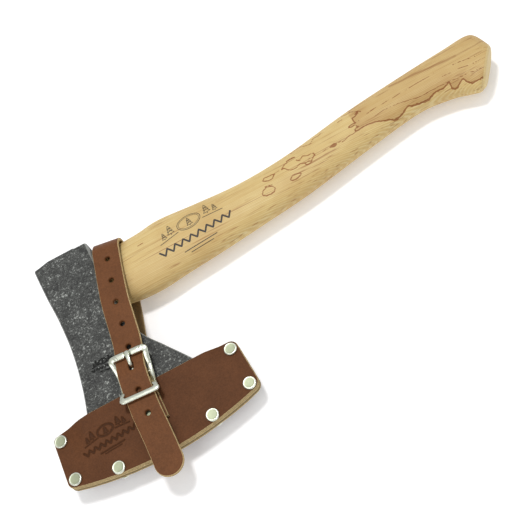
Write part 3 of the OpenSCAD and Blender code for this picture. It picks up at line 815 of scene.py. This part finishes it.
# Dark lines in the wood: (width, points)
MARKS = [
    (0.42, [(286.8, -1.8), (284.1, -2.3), (281.1, -1.8), (278.4, -1.7), (275.9, 0.6), (275.1, 2.4),
        (274.5, 3.6), (273.2, 3.6), (270.9, 2.5), (268.5, 1.4), (266.6, 1.5), (265, 2.7), (265.2, 5.1),
        (265, 6.6), (261.9, 5.7), (259.7, 5), (257.2, 5.6), (254.1, 5.8), (251.7, 5.5), (249.8, 5),
        (247.9, 4.5), (245.3, 4.6), (242.9, 4.7), (240.4, 4.8), (237.3, 5.2), (234.5, 5.3), (232.6, 6.2),
        (230.4, 5.5), (228, 4.3), (225.6, 3.3), (223.3, 2.8), (219.7, 2.3), (218, 2.9), (216.2, 3.8),
        (213.1, 3.9), (210.1, 5), (206.9, 6), (203.1, 6.6), (200.5, 6.7), (197.9, 6.7), (195.3, 6.5),
        (193.4, 5.9), (191.5, 6.8), (192.8, 8.3), (195.4, 8.7), (193.5, 11), (190.9, 10.8), (188.9, 11.6),
        (190.9, 12.6), (193.6, 12.7), (194.9, 13.3), (194.3, 14.9), (195, 17.4), (197.7, 17.8),
        (199, 18.6), (199.8, 21.3), (201.1, 20.7), (202.4, 18.9)]),
    (0.34, [(195.4, 25.1), (197.2, 23.3), (199.8, 20.9), (200.4, 18.8), (197.7, 19.5)]),
    (0.32, [(184.3, 21.0), (187, 21.2), (188.4, 21.1)]),
    (0.32, [(189.2, 25), (191.9, 24.2), (194.5, 23.9)]),
    (0.3, [(192.1, 6.1), (188.8, 5.5), (186.1, 5.7), (184.1, 4.6), (181.3, 3.9), (179.9, 3.8),
        (179.2, 4.9)]),
    (0.5, [(171.6, 4.6), (174.4, 5.4), (175.8, 4.6), (175, 3.6), (173.6, 3.2), (171.6, 4.2)]),
    (0.32, [(170.9, 19.9), (168.1, 18.7), (166, 19.2), (163.9, 18.9), (161.9, 16.7), (161.2, 15.7),
        (159.1, 15.7), (156.4, 16.4), (154.4, 17.8), (151.5, 19), (148.6, 18.4), (146.1, 17),
        (144.3, 18.4)]),
    (0.62, [(140.2, 11.5), (142.5, 11.8), (144.3, 11.8), (146.1, 11.3)]),
    (0.4, [(146.1, 8.4), (148, 6.3), (149.9, 7.6), (151.2, 8.9), (153.1, 7.8), (155.1, 6.9), (158.4, 6.7),
        (159.8, 5.1), (158.4, 4.2), (157.1, 3.4), (155.7, 2), (155.1, 0.9), (152.4, 0.1), (150.5, 0.6),
        (151.2, 2.4), (153.1, 2.4), (155.1, 1.4)]),
    (0.4, [(151.2, 2.5), (148.6, 3.1), (147.4, 4), (145.5, 3.1), (143.1, 2.2), (140.8, 2.4), (138.5, 3.1),
        (137.3, 5.1), (136.2, 6.9), (134, 6.7), (136.8, 9.2), (139, 10.1), (140.2, 10.1)]),
    (0.42, [(118.9, 5.8), (120.9, 7.5), (123.5, 7.2), (126.5, 6.9), (128.6, 6.6), (126.5, 4.6), (125, 3.6),
        (122.4, 3.7), (119.9, 4.7), (118.9, 5.8)]),
    (0.26, [(128.6, 6.6), (130.2, 6.7), (132.4, 6.9)]),
    (0.42, [(114.4, -3.9), (115.9, -1.8), (118.4, -0.7), (120.9, -0.8), (123.4, -2.3), (123.9, -4.4),
        (122.4, -6.3), (119.4, -6.8), (116.4, -6.4), (114.4, -5.3), (114.4, -3.9)]),
    (0.32, [(118.4, 0.3), (120.9, 0.2), (123.4, -0.9)]),
    (0.42, [(136.2, -3.8), (138.5, -2), (141.3, -1.9), (144.3, -2.7), (144.3, -3.9), (142.5, -4.8),
        (140.2, -5.4), (137.3, -5.3), (136.2, -4.3), (136.2, -3.8)]),
    (0.2, [(299, 14.1), (289.7, 13.9), (275.7, 16.7), (259.1, 17.9), (245.6, 17.4), (225.7, 16.3),
        (209.5, 15.5), (194.2, 12.2)]),
    (0.2, [(290.6, 3.1), (278.2, 5.3), (259.7, 7.5), (242.8, 7.9), (227.2, 10.3), (216.3, 10.9),
        (205.8, 9.5)]),
    (0.16, [(294.9, 9.1), (284.7, 9.7), (275.3, 11.7), (262.7, 12.4)]),
    (0.14, [(178.5, 4.6), (163.9, 4.1), (149.9, 4)]),
    (0.4, [(21, 7.0), (23, 7.2), (25.3, 6.9)])]
# Soft dark stains: (width, strength, points)
STREAKS = [
    (1.5, 0.85, [(229, 27.6), (236.8, 26.4), (242.6, 26.0), (249.4, 25.6), (255.9, 24.6), (264.6, 23.4),
        (272, 22.6), (278.8, 22.5)]),
    (0.8, 0.8, [(272, 22.6), (285.4, 22.4), (294.7, 22.6), (302.7, 25.2)]),
    (0.8, 0.6, [(234, 31.8), (242.9, 30.6), (249.4, 31.5)]),
    (1.2, 0.45, [(101.8, -2.2), (105.7, -1.9), (108.5, -2.6)]),
    (1.0, 0.6, [(32.9, 17.5), (38, 17.6), (43.0, 16.2)]),
    (1.2, 0.5, [(83.8, 9.7), (88, 10.2), (91.2, 10.3)]),
    (1.8, 0.4, [(172, 8), (178, 6), (183, 6.5)])]
xy, up_side = verts[:, :2], verts[:, 2] > 0
mark, stain = np.zeros(len(verts)), np.zeros(len(verts))
for width, line in MARKS:
    line = np.array(line)
    near = up_side & np.all((xy > line.min(0) - 3) & (xy < line.max(0) + 3), 1)
    wander = 0.3 * np.column_stack([wobble(verts[near], 1.7, 1), wobble(verts[near], 1.7, 4)])
    d = gap_to(xy[near] + wander, pairs(line))
    mark[near] = np.maximum(mark[near], 1 - smooth(d / (2.4 * width)))
for width, strength, line in STREAKS:
    line = np.array(line)
    near = up_side & np.all((xy > line.min(0) - 5) & (xy < line.max(0) + 5), 1)
    d = gap_to(xy[near], pairs(line))
    stain[near] = np.maximum(stain[near], strength * (1 - smooth(d / (1.6 * width))))
# The heartwood is darker, most of all beside the first dark line, which bounds it.
heart_edge = np.array(MARKS[0][1])
heart = inside(xy, np.vstack([[(320, -3)], heart_edge[:52], [(195, 60), (320, 60)]]))
heart_depth = gap_to(xy, pairs(heart_edge))
heart = np.where(up_side & heart, 0.55 + 0.45 * (1 - smooth(heart_depth / 9)), 0.0)
lighter_end = np.zeros(len(verts))
lighter_end[(STATIONS - 1) * SIDES:len(skin)] = 1
add_mesh("handle_wood", verts, faces, "axe", "handle_wood", WOOD, replaces=["handle"],
         points={"mark": mark, "stain": stain, "heart": heart, "fresh": lighter_end})

# The wood wedge shows as a strip across the handle's end, in rows of points from its top to its bottom.
ALONG = 24
WEDGE_ROWS = ((4, 1.7), (0.12, 1.7), (0, 1.58), (0, -1.58), (0.12, -1.7), (4, -1.7))
wedge_y = np.linspace(-16.4, 16.4, ALONG)
wedge_x = left_x(wedge_y) - 0.12
verts = np.vstack([np.column_stack([wedge_x + dx, wedge_y, np.full(ALONG, z)]) for dx, z in WEDGE_ROWS])
verts[:, 2] += 0.06 * wobble(verts, 3.0, 8)
row_starts = [r * ALONG for r in range(len(WEDGE_ROWS))]
faces = [(a + i, a + i + 1, b + i + 1, b + i) for a, b in pairs(row_starts) for i in range(ALONG - 1)]
faces += [tuple(row_starts), tuple(a + ALONG - 1 for a in row_starts)[::-1]]
add_mesh("wedge_plate", verts, faces, "axe", "wedge_wood", END_WOOD, sharp=35, replaces=["wood_wedge"])

RING_WEDGE = [(4.5, -3), (4.5, 0.12), (4.62, 0.25), (5.88, 0.25), (6.0, 0.12), (6.0, -3)]
verts, faces = lathe(RING_WEDGE, (left_x(0.0), 0, 0), (-1, 0, 0), 64)
verts = [v + np.array([left_x(v[1]) - left_x(0.0), 0, 0]) for v in verts]
add_mesh("wedge_ring", verts, faces, "axe", "wedge_steel", WEDGE, points={"wear_and_highlight": np.full(len(verts), 0.3)},
         sharp=35, replaces=["ring_wedge"])

# The decoration printed on the handle is a thin band along each stroke, laid on the skin.
PRINT_LIFT = 0.035
tree = BVHTree.FromPolygons([Vector(tuple(v)) for v in skin], skin_faces)


def on_handle(x, y):
    hit = tree.ray_cast(Vector((x, y, 40)), Vector((0, 0, -1)))[0]
    return (x, y, hit.z + PRINT_LIFT)


verts, faces = [], []
for pts, width in placed(emblem(), 60.3, 5.0, 1.0, 4.2):
    line = [pts[0]]
    for a, b in pairs(pts):
        n = max(1, int(np.linalg.norm(b - a) / 0.5))
        line += [a + (b - a) * k / n for k in range(1, n + 1)]
    line = np.array(line)
    closed = np.linalg.norm(line[0] - line[-1]) < 1e-6
    ahead = np.gradient(line, axis=0)
    if closed:
        ahead[0] = ahead[-1] = line[1] - line[-2]
    ahead /= np.linalg.norm(ahead, axis=1)[:, None]
    side = np.stack([-ahead[:, 1], ahead[:, 0]], 1) * width / 2
    start = len(verts)
    for p, q in zip(line, side):
        verts += [on_handle(*(p - q)), on_handle(*(p + q))]
    faces += [(k, k + 2, k + 3, k + 1) for k in range(start, start + 2 * len(line) - 2, 2)]
add_mesh("handle_print", verts, faces, "axe", "handle_wood", INK, sharp=0)

# -------- sheath

SHEET = 2.8
WELT_HALF = 1.45
POCKET = (-66.5, 42.0)
POCKET_INSET = 8.5
LOW_CENTRE, LOW_R = (-17.5, 95.8), 234.2


def low_y(x, inset=0.0):
    """The sheath's lower outline, an arc, or a line inside it."""
    return LOW_CENTRE[1] - np.sqrt((LOW_R - inset) ** 2 - (np.asarray(x, float) - LOW_CENTRE[0]) ** 2)


def low_points(x0, x1, count, inset=0.0):
    return [(x, float(low_y(x, inset))) for x in np.linspace(x0, x1, count)]


def soft_ramp(x, a, b):
    t = (np.asarray(x, float) - a) / (b - a)
    return 0.5 * np.clip(t, 0, 1) + 0.5 * smooth(t)


def panel_in(x, y):
    """How far a panel's inner face is from the middle plane: on the welt, and rising towards the mouth."""
    across = np.minimum(soft_ramp(x, -71.5, -60), 1 - soft_ramp(x, 31, 43.5))
    return WELT_HALF + 2.85 * across * np.maximum(0, (y + 124) / 35)


TL, BEND, TR = (-81.6, -92.6), (-54.0, -89.3), (53.0, -89.6)
BR, BL = (56.3, float(low_y(56.3))), (-81.2, float(low_y(-81.2)))
LOW_RUN = low_points(44, -70, 40)
RIVETS = [(-76.6, -97.3), (-75.4, -125.7), (-46.9, -132.5), (20.4, -130.8), (50, -123.3), (48.2, -95.5)]
sheath_outline = np.vstack([
    bend(BL, TL, BEND, 4), bend(TL, BEND, TR, 30), bend(BEND, TR, BR, 5), bend(TR, BR, LOW_RUN[0], 6),
    LOW_RUN, bend(LOW_RUN[-1], BL, TL, 5)])[::-1]
pressed = placed(emblem(), -46.5, -105.2, 0.66, 3.0)


def panel(name, sign, node, **more):
    """The front panel has sign 1 and the decoration, and the back one has sign -1."""
    def place(s, v, w):
        return np.column_stack([s, v, sign * (panel_in(s, v) + SHEET / 2 + w)])

    def relief(x, y):
        p = np.column_stack([x, y])
        out = 0.16 * wobble(p, 17, 3 + sign) + 0.05 * wobble(p, 5, 9 + sign)
        for rx, ry in RIVETS:
            out -= 0.35 * (1 - smooth((np.hypot(x - rx, y - ry) - 4.0) / 3.0))
        return out - (groove(pressed, x, y, 0.85, 0.5) if sign > 0 else 0)

    slab(name, sheath_outline, [], SHEET, place, "sheath", "sheath_leather", SHEATH, edge=(0.7, 0.4),
         relief=relief, flip=sign < 0, replaces=[node], **more)


panel("sheath_panel_front", 1, "sheath_front", grid=1.7, dense=[((-67, -128, -27, -99), 0.4)], cut_width=0.7,
      marks={"press": pressed_by(pressed, 0.45)})
panel("sheath_panel_back", -1, "sheath_back", grid=2.0)

# The welt's plan: the sheath's outline less the pocket, which opens at the mouth.
MOUTH_LEFT, MOUTH_RIGHT = (POCKET[0], -90.9), (POCKET[1], -89.6)
outer = [tuple(p) for p in sheath_outline[::-1]]
start = next(i for i, p in enumerate(outer) if p[0] > POCKET[1] and p[1] > -95)
outer = [p for p in outer[start:] + outer[:start] if not (POCKET[0] <= p[0] <= POCKET[1] and p[1] > -95)]
welt = np.array(outer + [MOUTH_LEFT] + low_points(*POCKET, 30, POCKET_INSET) + [MOUTH_RIGHT])[::-1]
slab("sheath_welt_strip", welt, [], 2.86, flat_place, "sheath", "sheath_leather", SHEATH, grid=1.3,
     edge=(0.35, 0.35), rows=(0.2, 0.4, 0.6, 0.8), fuzz=0.22, bulge=-0.12, cut_width=3.0,
     replaces=["sheath_welt"])

# -------- rivets

# The strap's middle line goes round the handle on an arc about BEND_AT, turned by YAW from the handle.
YAW = math.radians(-10.6)
BEND_AT = np.array([-0.6, 12.3, 0])
BEND_R = 13.8
CAP_H, CAP_Z, TUBE_R = 1.3, 4.25, 2.1
CAP = [(0, 1.14), (2.4, 1.15), (3.2, 1.18), (3.6, 1.25), (3.85, 1.28), (4.1, 1.14), (4.3, 0.85), (4.4, 0.5),
       (4.38, 0.0), (4.2, -0.25), (TUBE_R, -0.25)]
ANCHOR_H = 0.9
LOOP_RIVET = (-16, -112)


def rivet(x, y, z, way, height, tube, seed):
    """A cap facing up (way 1) or down (way -1) on its tube, and how flat it is at each point."""
    profile = [(r, h * height / CAP_H if h > 0 else h) for r, h in CAP] + [(TUBE_R, -tube), (0, -tube)]
    lean = 0.02 * math.sin(seed * 7.7), 0.02 * math.cos(seed * 5.1)
    v, f = lathe(profile, (x, y, z), (*lean, way), 56, seed)
    v = np.array(v)
    dome = (v[:, 2] - z) * way > 0.3
    v[dome, 2] += 0.02 * wobble(v[dome], 2.2, seed)
    r = np.hypot(v[:, 0] - x, v[:, 1] - y)
    return v, f, 1 - smooth((r - 3.3) / 0.5)


def rivets(name, places, node):
    verts, faces, flats = [], [], []
    for i, place in enumerate(places):
        v, f, flat = rivet(*place, i + 1.3)
        faces += [tuple(k + len(verts) for k in face) for face in f]
        verts += list(v)
        flats += list(flat)
    add_mesh(name, verts, faces, "sheath", "nickel", RIVET, points={"flat": flats}, sharp=50, replaces=[node])


def panel_out(x, y):
    return float(panel_in(x, y)) + SHEET


def back_x(y):
    """The middle of the strap's straight run behind the sheath."""
    return BEND_AT[0] - (y - BEND_AT[1]) * math.tan(YAW)


def anchor(y):
    return (back_x(y), y, -panel_out(back_x(y), y) - 3.35, -1, ANCHOR_H, 3.2)


rivets("rivet_caps_front", [(x, y, CAP_Z, 1, CAP_H, 6.0) for x, y in RIVETS], "rivet_caps")
rivets("rivet_caps_back", [(x, y, -CAP_Z, -1, CAP_H, 2.0) for x, y in RIVETS], "rivet_posts")
rivets("anchor_caps_outer", [(*LOOP_RIVET, panel_out(*LOOP_RIVET) + 3.65, 1, ANCHOR_H, 3.4), anchor(-101),
                             anchor(-116)], "anchor_caps")

# -------- strap

ACROSS = np.array([math.cos(YAW), math.sin(YAW), 0])
OFF = np.array([-math.sin(YAW), math.cos(YAW), 0])
UP = np.array([0, 0, 1.0])


def bend_point(degrees):
    a = math.radians(degrees)
    return BEND_AT + BEND_R * (OFF * math.cos(a) + UP * math.sin(a))


back_run = [(back_x(y), y, -(panel_out(back_x(y), y) + 1.55)) for y in (-122, -110, -91)]
back_run += [(back_x(y), y, -BEND_R) for y in (-28, -8)] + [bend_point(-90)]
back_line = []
for a, b in pairs(np.array(back_run)):
    n = max(2, int(np.linalg.norm(b - a)))
    back_line += [a + (b - a) * k / n for k in range(n)]
back_line = np.array(back_line)
soft = back_line.copy()
for i in range(4, len(soft) - 4):
    soft[i] = back_line[i - 4:i + 5].mean(0)
arc = np.array([bend_point(a) for a in np.arange(-90, 90, 2.0)])
FRONT = [
    tuple(BEND_AT + BEND_R * UP), (back_x(-6), -6, BEND_R), (-7.2, -25, BEND_R), (-8.9, -42, 13.2),
    (-10.5, -57, 12.1), (-12.4, -67, 11.8), (-14.2, -76, 13.2), (-14.9, -84, 14.4), (-15.6, -92, 13.3),
    (-15.9, -100.5, 11.8), (-15.8, -112, 11.8), (-15.6, -124, 9.2), (-15.5, -137, 7.4), (-15.4, -155.6, 6.6)]
front_line = curve(FRONT, 260)
path = np.vstack([soft, arc, front_line])
plan = np.gradient(front_line, axis=0)
front_across = np.column_stack([-plan[:, 1], plan[:, 0], np.zeros(len(plan))])
front_across /= np.linalg.norm(front_across, axis=1)[:, None]
mixing = smooth(np.arange(len(front_line)) / 30)[:, None]
front_across = ACROSS * (1 - mixing) + front_across * mixing
strap = Ribbon(path, np.vstack([np.tile(ACROSS, (len(soft) + len(arc), 1)), front_across]))
s_low = float(strap.s[len(soft)])


def s_at(degrees):
    return s_low + BEND_R * math.radians(degrees + 90)


s_top, s_end = s_at(90), float(strap.s[-1])
HALF = 9.75
SEAM_V = [HALF - d for d in (0.14, 0.3, 0.5, 0.75, 1.0)]


def strap_y(y):
    return strap.find(1, y, after=s_top)


def strap_relief(s, v):
    p = np.column_stack([s, v])
    return 0.07 * wobble(p, 9, 5) + 0.03 * wobble(p, 3, 6)


HOLE_R, HOLE_V, HOLE_STEP = 1.8, 0.5, 17.3
FIRST_HOLE_Y, TONGUE_HOLE_Y = -62.4, -77.6
crease = np.array([(strap_y(-55.5), -9.0), (strap_y(-54.3), 0.0), (strap_y(-53.0), 9.0)])
strap_holes = [strap_y(FIRST_HOLE_Y + HOLE_STEP * i) for i in range(5)]
strap_holes += [strap_y(TONGUE_HOLE_Y - HOLE_STEP * i) for i in (1, 2)]


def front_relief(s, v):
    """The strap's relief with a crease above the buckle and a dent round each hole."""
    d = gap_to(np.column_stack([s, v]), pairs(crease))
    out = strap_relief(s, v) - 0.32 * np.exp(-(d / 0.55) ** 2) + 0.12 * np.exp(-((d - 1.3) / 0.7) ** 2)
    for h in strap_holes:
        out -= 0.25 * (1 - smooth((np.hypot(s - h, v - HOLE_V) - HOLE_R) / 1.1))
    return out


def strap_piece(name, s0, s1, holes, start, end, replaces, first=False, tail=False,
                relief=strap_relief):
    """A stretch of the strap from s0 to s1. start and end, angles on the bend, only give points that are not
    used.
    """
    outline = [(s0, -HALF)]
    if tail:
        outline += [(s1 - HALF + HALF * math.cos(t), HALF * math.sin(t))
                    for t in np.linspace(-math.pi / 2, math.pi / 2, 26)]
    else:
        outline += [(s1, -HALF)] + [(s1, -v) for v in SEAM_V] + [(s1, v) for v in SEAM_V[::-1]] + [(s1, HALF)]
    outline += [(s0, HALF)]
    if first:
        seams = (s1,)
    else:
        seams = (s0,) if tail else (s0, s1)
        outline += [(s0, v) for v in SEAM_V] + [(s0, -v) for v in SEAM_V[::-1]]
    obj = slab(name, outline, holes, SHEET, strap.place, None, "strap_leather", STRAP, grid=1.15,
               edge=(0.75, 0.45), relief=relief, seams=seams, replaces=replaces, fuzz=0.1, bulge=0.12,
               cut_width=0.9)
    start, end = bend_point(start), bend_point(end)
    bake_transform(obj)


strap_piece("strap_run_back", 0.0, s_at(-60), [], -90, -60, ["strap_back"],
            first=True)
strap_piece("strap_bend_under", s_at(-60), s_at(0), [], -60, 0,
            ["strap_wrap_lower"])
strap_piece("strap_bend_over", s_at(0), s_at(60), [circle(s_at(41), 0.0, HOLE_R)],
            0, 60, ["strap_wrap_middle"])
front_holes = [circle(h, HOLE_V, HOLE_R) for h in strap_holes]
front_holes.append(circle(strap_y(TONGUE_HOLE_Y), HOLE_V, 1.75, stretch=1.6))
strap_piece("strap_run_front", s_at(60), s_end, front_holes, 60, 90,
            ["strap_wrap_upper", "strap_front"], tail=True, relief=front_relief)

# -------- buckle and its loop

BUCKLE = np.array([-14.1, -84.1, 9.9])
TILT = math.radians(-4.5)


def in_buckle(points):
    """Points given from the middle of the buckle's bar, with Y along the tongue."""
    p = np.asarray(points, float)
    return np.column_stack([turned(p, BUCKLE[0], BUCKLE[1], TILT), BUCKLE[2] + p[:, 2]])


LOOP_T, SLOT_R, COUNT = 1.5, 2.1, 300
bar_x, bar_z = BUCKLE[0], BUCKLE[2]
# The loop's under layer lies on the sheath from low_z to mouth_z, and its upper layer comes back over it.
low_z = panel_out(bar_x, -118) + 0.95
mouth_z = panel_out(bar_x, -89) + 0.95 - 0.08
LOOP = [(2.5, -33.9, low_z), (1.1, -20, (low_z + mouth_z) / 2), (0, -5.9, mouth_z)]
LOOP += [(0, 2.15 * math.cos(math.radians(a)), bar_z + 2.15 * math.sin(math.radians(a)))
         for a in range(-90, 91, 15)]
LOOP += [(0, -7.9, 10.8), (1.1, -20.4, low_z + 2.69), (2.5, -33.9, low_z + 1.6)]
loop_line = in_buckle(curve(LOOP, COUNT) - np.array([0, 0, bar_z]))
loop = Ribbon(loop_line, np.tile([math.cos(TILT), math.sin(TILT), 0], (COUNT, 1)))
bar_s, loop_end = float(loop.s[np.argmax(loop_line[:, 1])]), float(loop.s[-1])
off_rivet = np.abs(loop_line[:, 1] - LOOP_RIVET[1])
half = COUNT // 2
rivet_s = [float(loop.s[np.argmin(off_rivet[:half])]), float(loop.s[half + np.argmin(off_rivet[half:])])]
WIDE, NARROW = 9.5, 8.3
loop_side = [(0, WIDE), (bar_s - 15, WIDE), (bar_s - 7, NARROW), (bar_s + 7, NARROW), (bar_s + 15, WIDE),
             (loop_end, WIDE)]
loop_holes = [circle(s, -1.5, SLOT_R) for s in rivet_s] + [circle(bar_s, 0.0, SLOT_R, stretch=5.2)]
slab("buckle_loop_leather", [(s, -v) for s, v in loop_side] + loop_side[::-1], loop_holes, LOOP_T, loop.place,
     "sheath", "strap_leather", STRAP, grid=1.1, edge=(0.35, 0.3), replaces=["buckle_loop"],
     relief=lambda s, v: 0.04 * wobble(np.column_stack([s, v]), 6, 2))

# How far the frame's sides rise from the bar towards its ends: (y, rise)
RISE_HALF = [(2.5, 0.0), (5, 0.45), (8.5, 2.3), (11.5, 4.3), (14.2, 5.2), (20, 5.2)]
rise_line = curve([(-y, z) for y, z in RISE_HALF[::-1]] + RISE_HALF, 140)


def frame_side(x, y0, y1):
    """The right side of the frame, which is narrowest just below the bar."""
    y = np.linspace(y0, y1, 18)
    return np.column_stack([x - 1.65 * (1 - np.clip((y + 1.5) / 14.5, -1, 1) ** 2), y])


def both_sides(*runs):
    """A closed outline from its right half, which goes up."""
    right = np.vstack(runs)
    return np.vstack([right, right[::-1] * (-1, 1)])


# The frame's top bar has a notch in its inner edge, where the tongue lies. It is a little off the middle.
outer_frame = both_sides(bend((0, -17.75), (13.8, -17.75), (13.8, -10), 2.6), frame_side(13.8, -14, 12.5),
                         bend((13.8, 10), (13.8, 17.75), (0, 17.75), 3.6))
inner_half = [bend((0, -14.0), (10.4, -14.0), (10.4, -8), 1.2, 5), frame_side(10.4, -12.3, 11.2),
              bend((10.4, 8), (10.4, 13.3), (9.2, 13.3), 1.2, 5), [(8.9, 13.3), (8.4, 13.05)]]
inner_frame = both_sides(*inner_half, [(2.6, 13.05), (2.0, 14.0)])
inner_frame[len(inner_frame) // 2:len(inner_frame) // 2 + 2] = (-2.2, 14.0), (-2.8, 13.05)


def crossing(outline, angle):
    """Where a ray from the middle of the frame meets an outline."""
    d = np.array([math.cos(angle), math.sin(angle)])
    a, b = outline, np.roll(outline, -1, 0)
    e = b - a
    bottom = d[0] * e[:, 1] - d[1] * e[:, 0]
    bottom = np.where(np.abs(bottom) < 1e-12, 1e-12, bottom)
    t = (a[:, 0] * e[:, 1] - a[:, 1] * e[:, 0]) / bottom
    u = (a[:, 0] * d[1] - a[:, 1] * d[0]) / bottom
    return d * max(t[(t > 0) & (u >= -1e-9) & (u <= 1 + 1e-9)])


def frame_relief(x, y):
    """The top bar's thicker sleeve, and the notch for the tongue's tip."""
    sleeve = (1 - smooth((abs(x) - 8.3) / 0.5)) * (y > 12.5)
    notch = (1 - smooth((abs(x) - 1.7) / 0.5)) * (y > 12.5)
    return 0.28 * sleeve - 0.8 * notch


# The frame is a bevelled bar swept round. Each station has its section from the inner edge over the
# top to the outer edge and back underneath, as (distance out from the edge, height) for each edge.
BY_INNER = [(0.6, -1.1), (0.15, -0.75), (0.0, -0.3), (0.0, 0.3), (0.12, 0.78), (0.4, 1.05), (0.8, 1.13)]
BY_OUTER = [(-0.95, 1.13), (-0.5, 1.04), (-0.14, 0.74), (0.0, 0.2), (0.0, -0.3), (-0.15, -0.75), (-0.6, -1.1)]
TOP_FROM = 0.7
frame_verts, frame_faces = [], []
stations = np.linspace(-math.pi, math.pi, 721)[:-1]
for station in stations:
    inner_at, outer_at = crossing(inner_frame, station), crossing(outer_frame, station)
    across = (outer_at - inner_at) / np.linalg.norm(outer_at - inner_at)
    for edge_at, section in ((inner_at, BY_INNER), (outer_at, BY_OUTER)):
        for u, h in section:
            x, y = edge_at + across * u
            lift = frame_relief(x, y) if h > TOP_FROM else 0.0
            frame_verts.append((x, y, float(np.interp(y, rise_line[:, 0], rise_line[:, 1])) + h + lift))
m = len(BY_INNER) + len(BY_OUTER)
for i in range(len(stations)):
    a, b = i * m, (i + 1) % len(stations) * m
    frame_faces += [(a + k, a + (k + 1) % m, b + (k + 1) % m, b + k) for k in range(m)]


def buckle_part(name, verts, faces, body, **more):
    add_mesh(name, in_buckle(verts), faces, body, "nickel", NICKEL, **more)


buckle_part("buckle_frame_cast", frame_verts, frame_faces, "buckle", sharp=0, replaces=["buckle_frame"])
bar_verts, bar_faces = lathe([(0, -11.2), (1.2, -11.2), (1.2, 11.2), (0, 11.2)], (0, 0, 0), (1, 0, 0), 32)
buckle_part("buckle_bar", bar_verts, [f[::-1] for f in bar_faces], "buckle", sharp=50)

TONGUE = [(0, 0.0, 2.05), (0, 3.0, 2.1), (0, 5.6, 2.45), (0, 6.7, 4.2), (0, 8.0, 6.0), (0, 11, 6.6),
          (0, 14, 6.75), (0, 17.3, 6.55)]
TONGUE_T, TIP = 1.5, 0.9
tongue = Ribbon(curve(TONGUE, 160), np.tile([-1.0, 0, 0], (160, 1)))
tongue_end = float(tongue.s[-1])
tip_from = tongue_end - TIP
width_at = np.array([0, 0.35, 0.55, 0.9, 1]) * tongue_end
HALF_WIDTHS = [1.2, 1.0, 1.1, 1.55, 1.45]
blade = [(s, float(np.interp(s, width_at, HALF_WIDTHS))) for s in np.linspace(0, tip_from, 26)[:-1]]
tip = [(tip_from + TIP * math.cos(a), 1.48 * math.sin(a)) for a in np.linspace(-math.pi / 2, math.pi / 2, 12)]
slab("buckle_tongue_blade", [(s, -v) for s, v in blade] + tip + blade[::-1], [], TONGUE_T,
     lambda s, v, w: in_buckle(tongue.place(s, v, w)), "tongue", "nickel", NICKEL, grid=0.5, edge=(0.6, 0.5),
     rows=(0.5,), fuzz=0.0, bulge=0.06, replaces=["buckle_tongue"])
EYELET = [(1.28, -1.2), (2.5, -1.2), (2.7, -1.0), (2.7, 1.0), (2.5, 1.2), (1.28, 1.2), (1.28, -1.2)]
ring_verts, ring_faces = lathe(EYELET, (0, 0, 0), (1, 0, 0), 40)
buckle_part("buckle_tongue_ring", ring_verts, [f[::-1] for f in ring_faces], "tongue", sharp=50)

# -------- what is shown of the CAD parts

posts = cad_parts["anchor_posts"].data
posts.materials.clear()
posts.materials.append(NICKEL)

# -------- floor, light and camera

FLOOR_Z = -0.0003
FLOOR_HALF = 3


def area(name, place, size, power):
    """A round light that points at the middle of the floor."""
    light = bpy.data.lights.new(name, "AREA")
    light.shape, light.size, light.energy = "DISK", size, power
    obj = new_object(name, light)
    obj.location = place
    obj.rotation_euler = (-Vector(place)).to_track_quat("-Z", "Y").to_euler()
    return obj


floor_mesh = bpy.data.meshes.new("floor")
corners = [(x * FLOOR_HALF, y * FLOOR_HALF, FLOOR_Z) for x, y in ((-1, -1), (1, -1), (1, 1), (-1, 1))]
floor_mesh.from_pydata(corners, [], [(0, 1, 2, 3)])
paper = Paint("floor_paper")
white = paper.ramp(paper.noise(2.0, 2), (0.3, colour(246, 246, 247)), (0.7, colour(248, 248, 249)))
paper.set(Base_Color=white, Roughness=0.9, Specular_IOR_Level=0.1, Emission_Color=(1.0, 1.0, 1.0, 1.0),
          Emission_Strength=0.22)
floor_mesh.materials.append(paper.material)
floor = new_object("floor", floor_mesh)

key = area("key", (-0.02, 0.36, 1.55), 0.28, 13.0)
fill = area("fill", (-0.9, -0.6, 1.3), 1.0, 4.0)

world = bpy.data.worlds.new("studio")
world.use_nodes = True
backdrop = world.node_tree.nodes["Background"]
backdrop.inputs["Color"].default_value = (1, 1, 1, 1)
backdrop.inputs["Strength"].default_value = 0.55
scene = bpy.context.scene
scene.world = world
scene.view_settings.view_transform = "Standard"

camera_data = bpy.data.cameras.new("camera")
camera_data.lens = 68.57
camera_data.sensor_width = 36
camera = new_object("camera", camera_data)
eye_at = Vector(tuple(at((100.44, -402.27, 572.82))))
right = Vector((0.88233, -0.39407, -0.25731))
up = Vector((0.47049, 0.75234, 0.46112))
back = -Vector((-0.01187, 0.52792, -0.84921))
camera.matrix_world = Matrix.Translation(eye_at) @ Matrix((right, up, back)).transposed().to_4x4()
scene.camera = camera
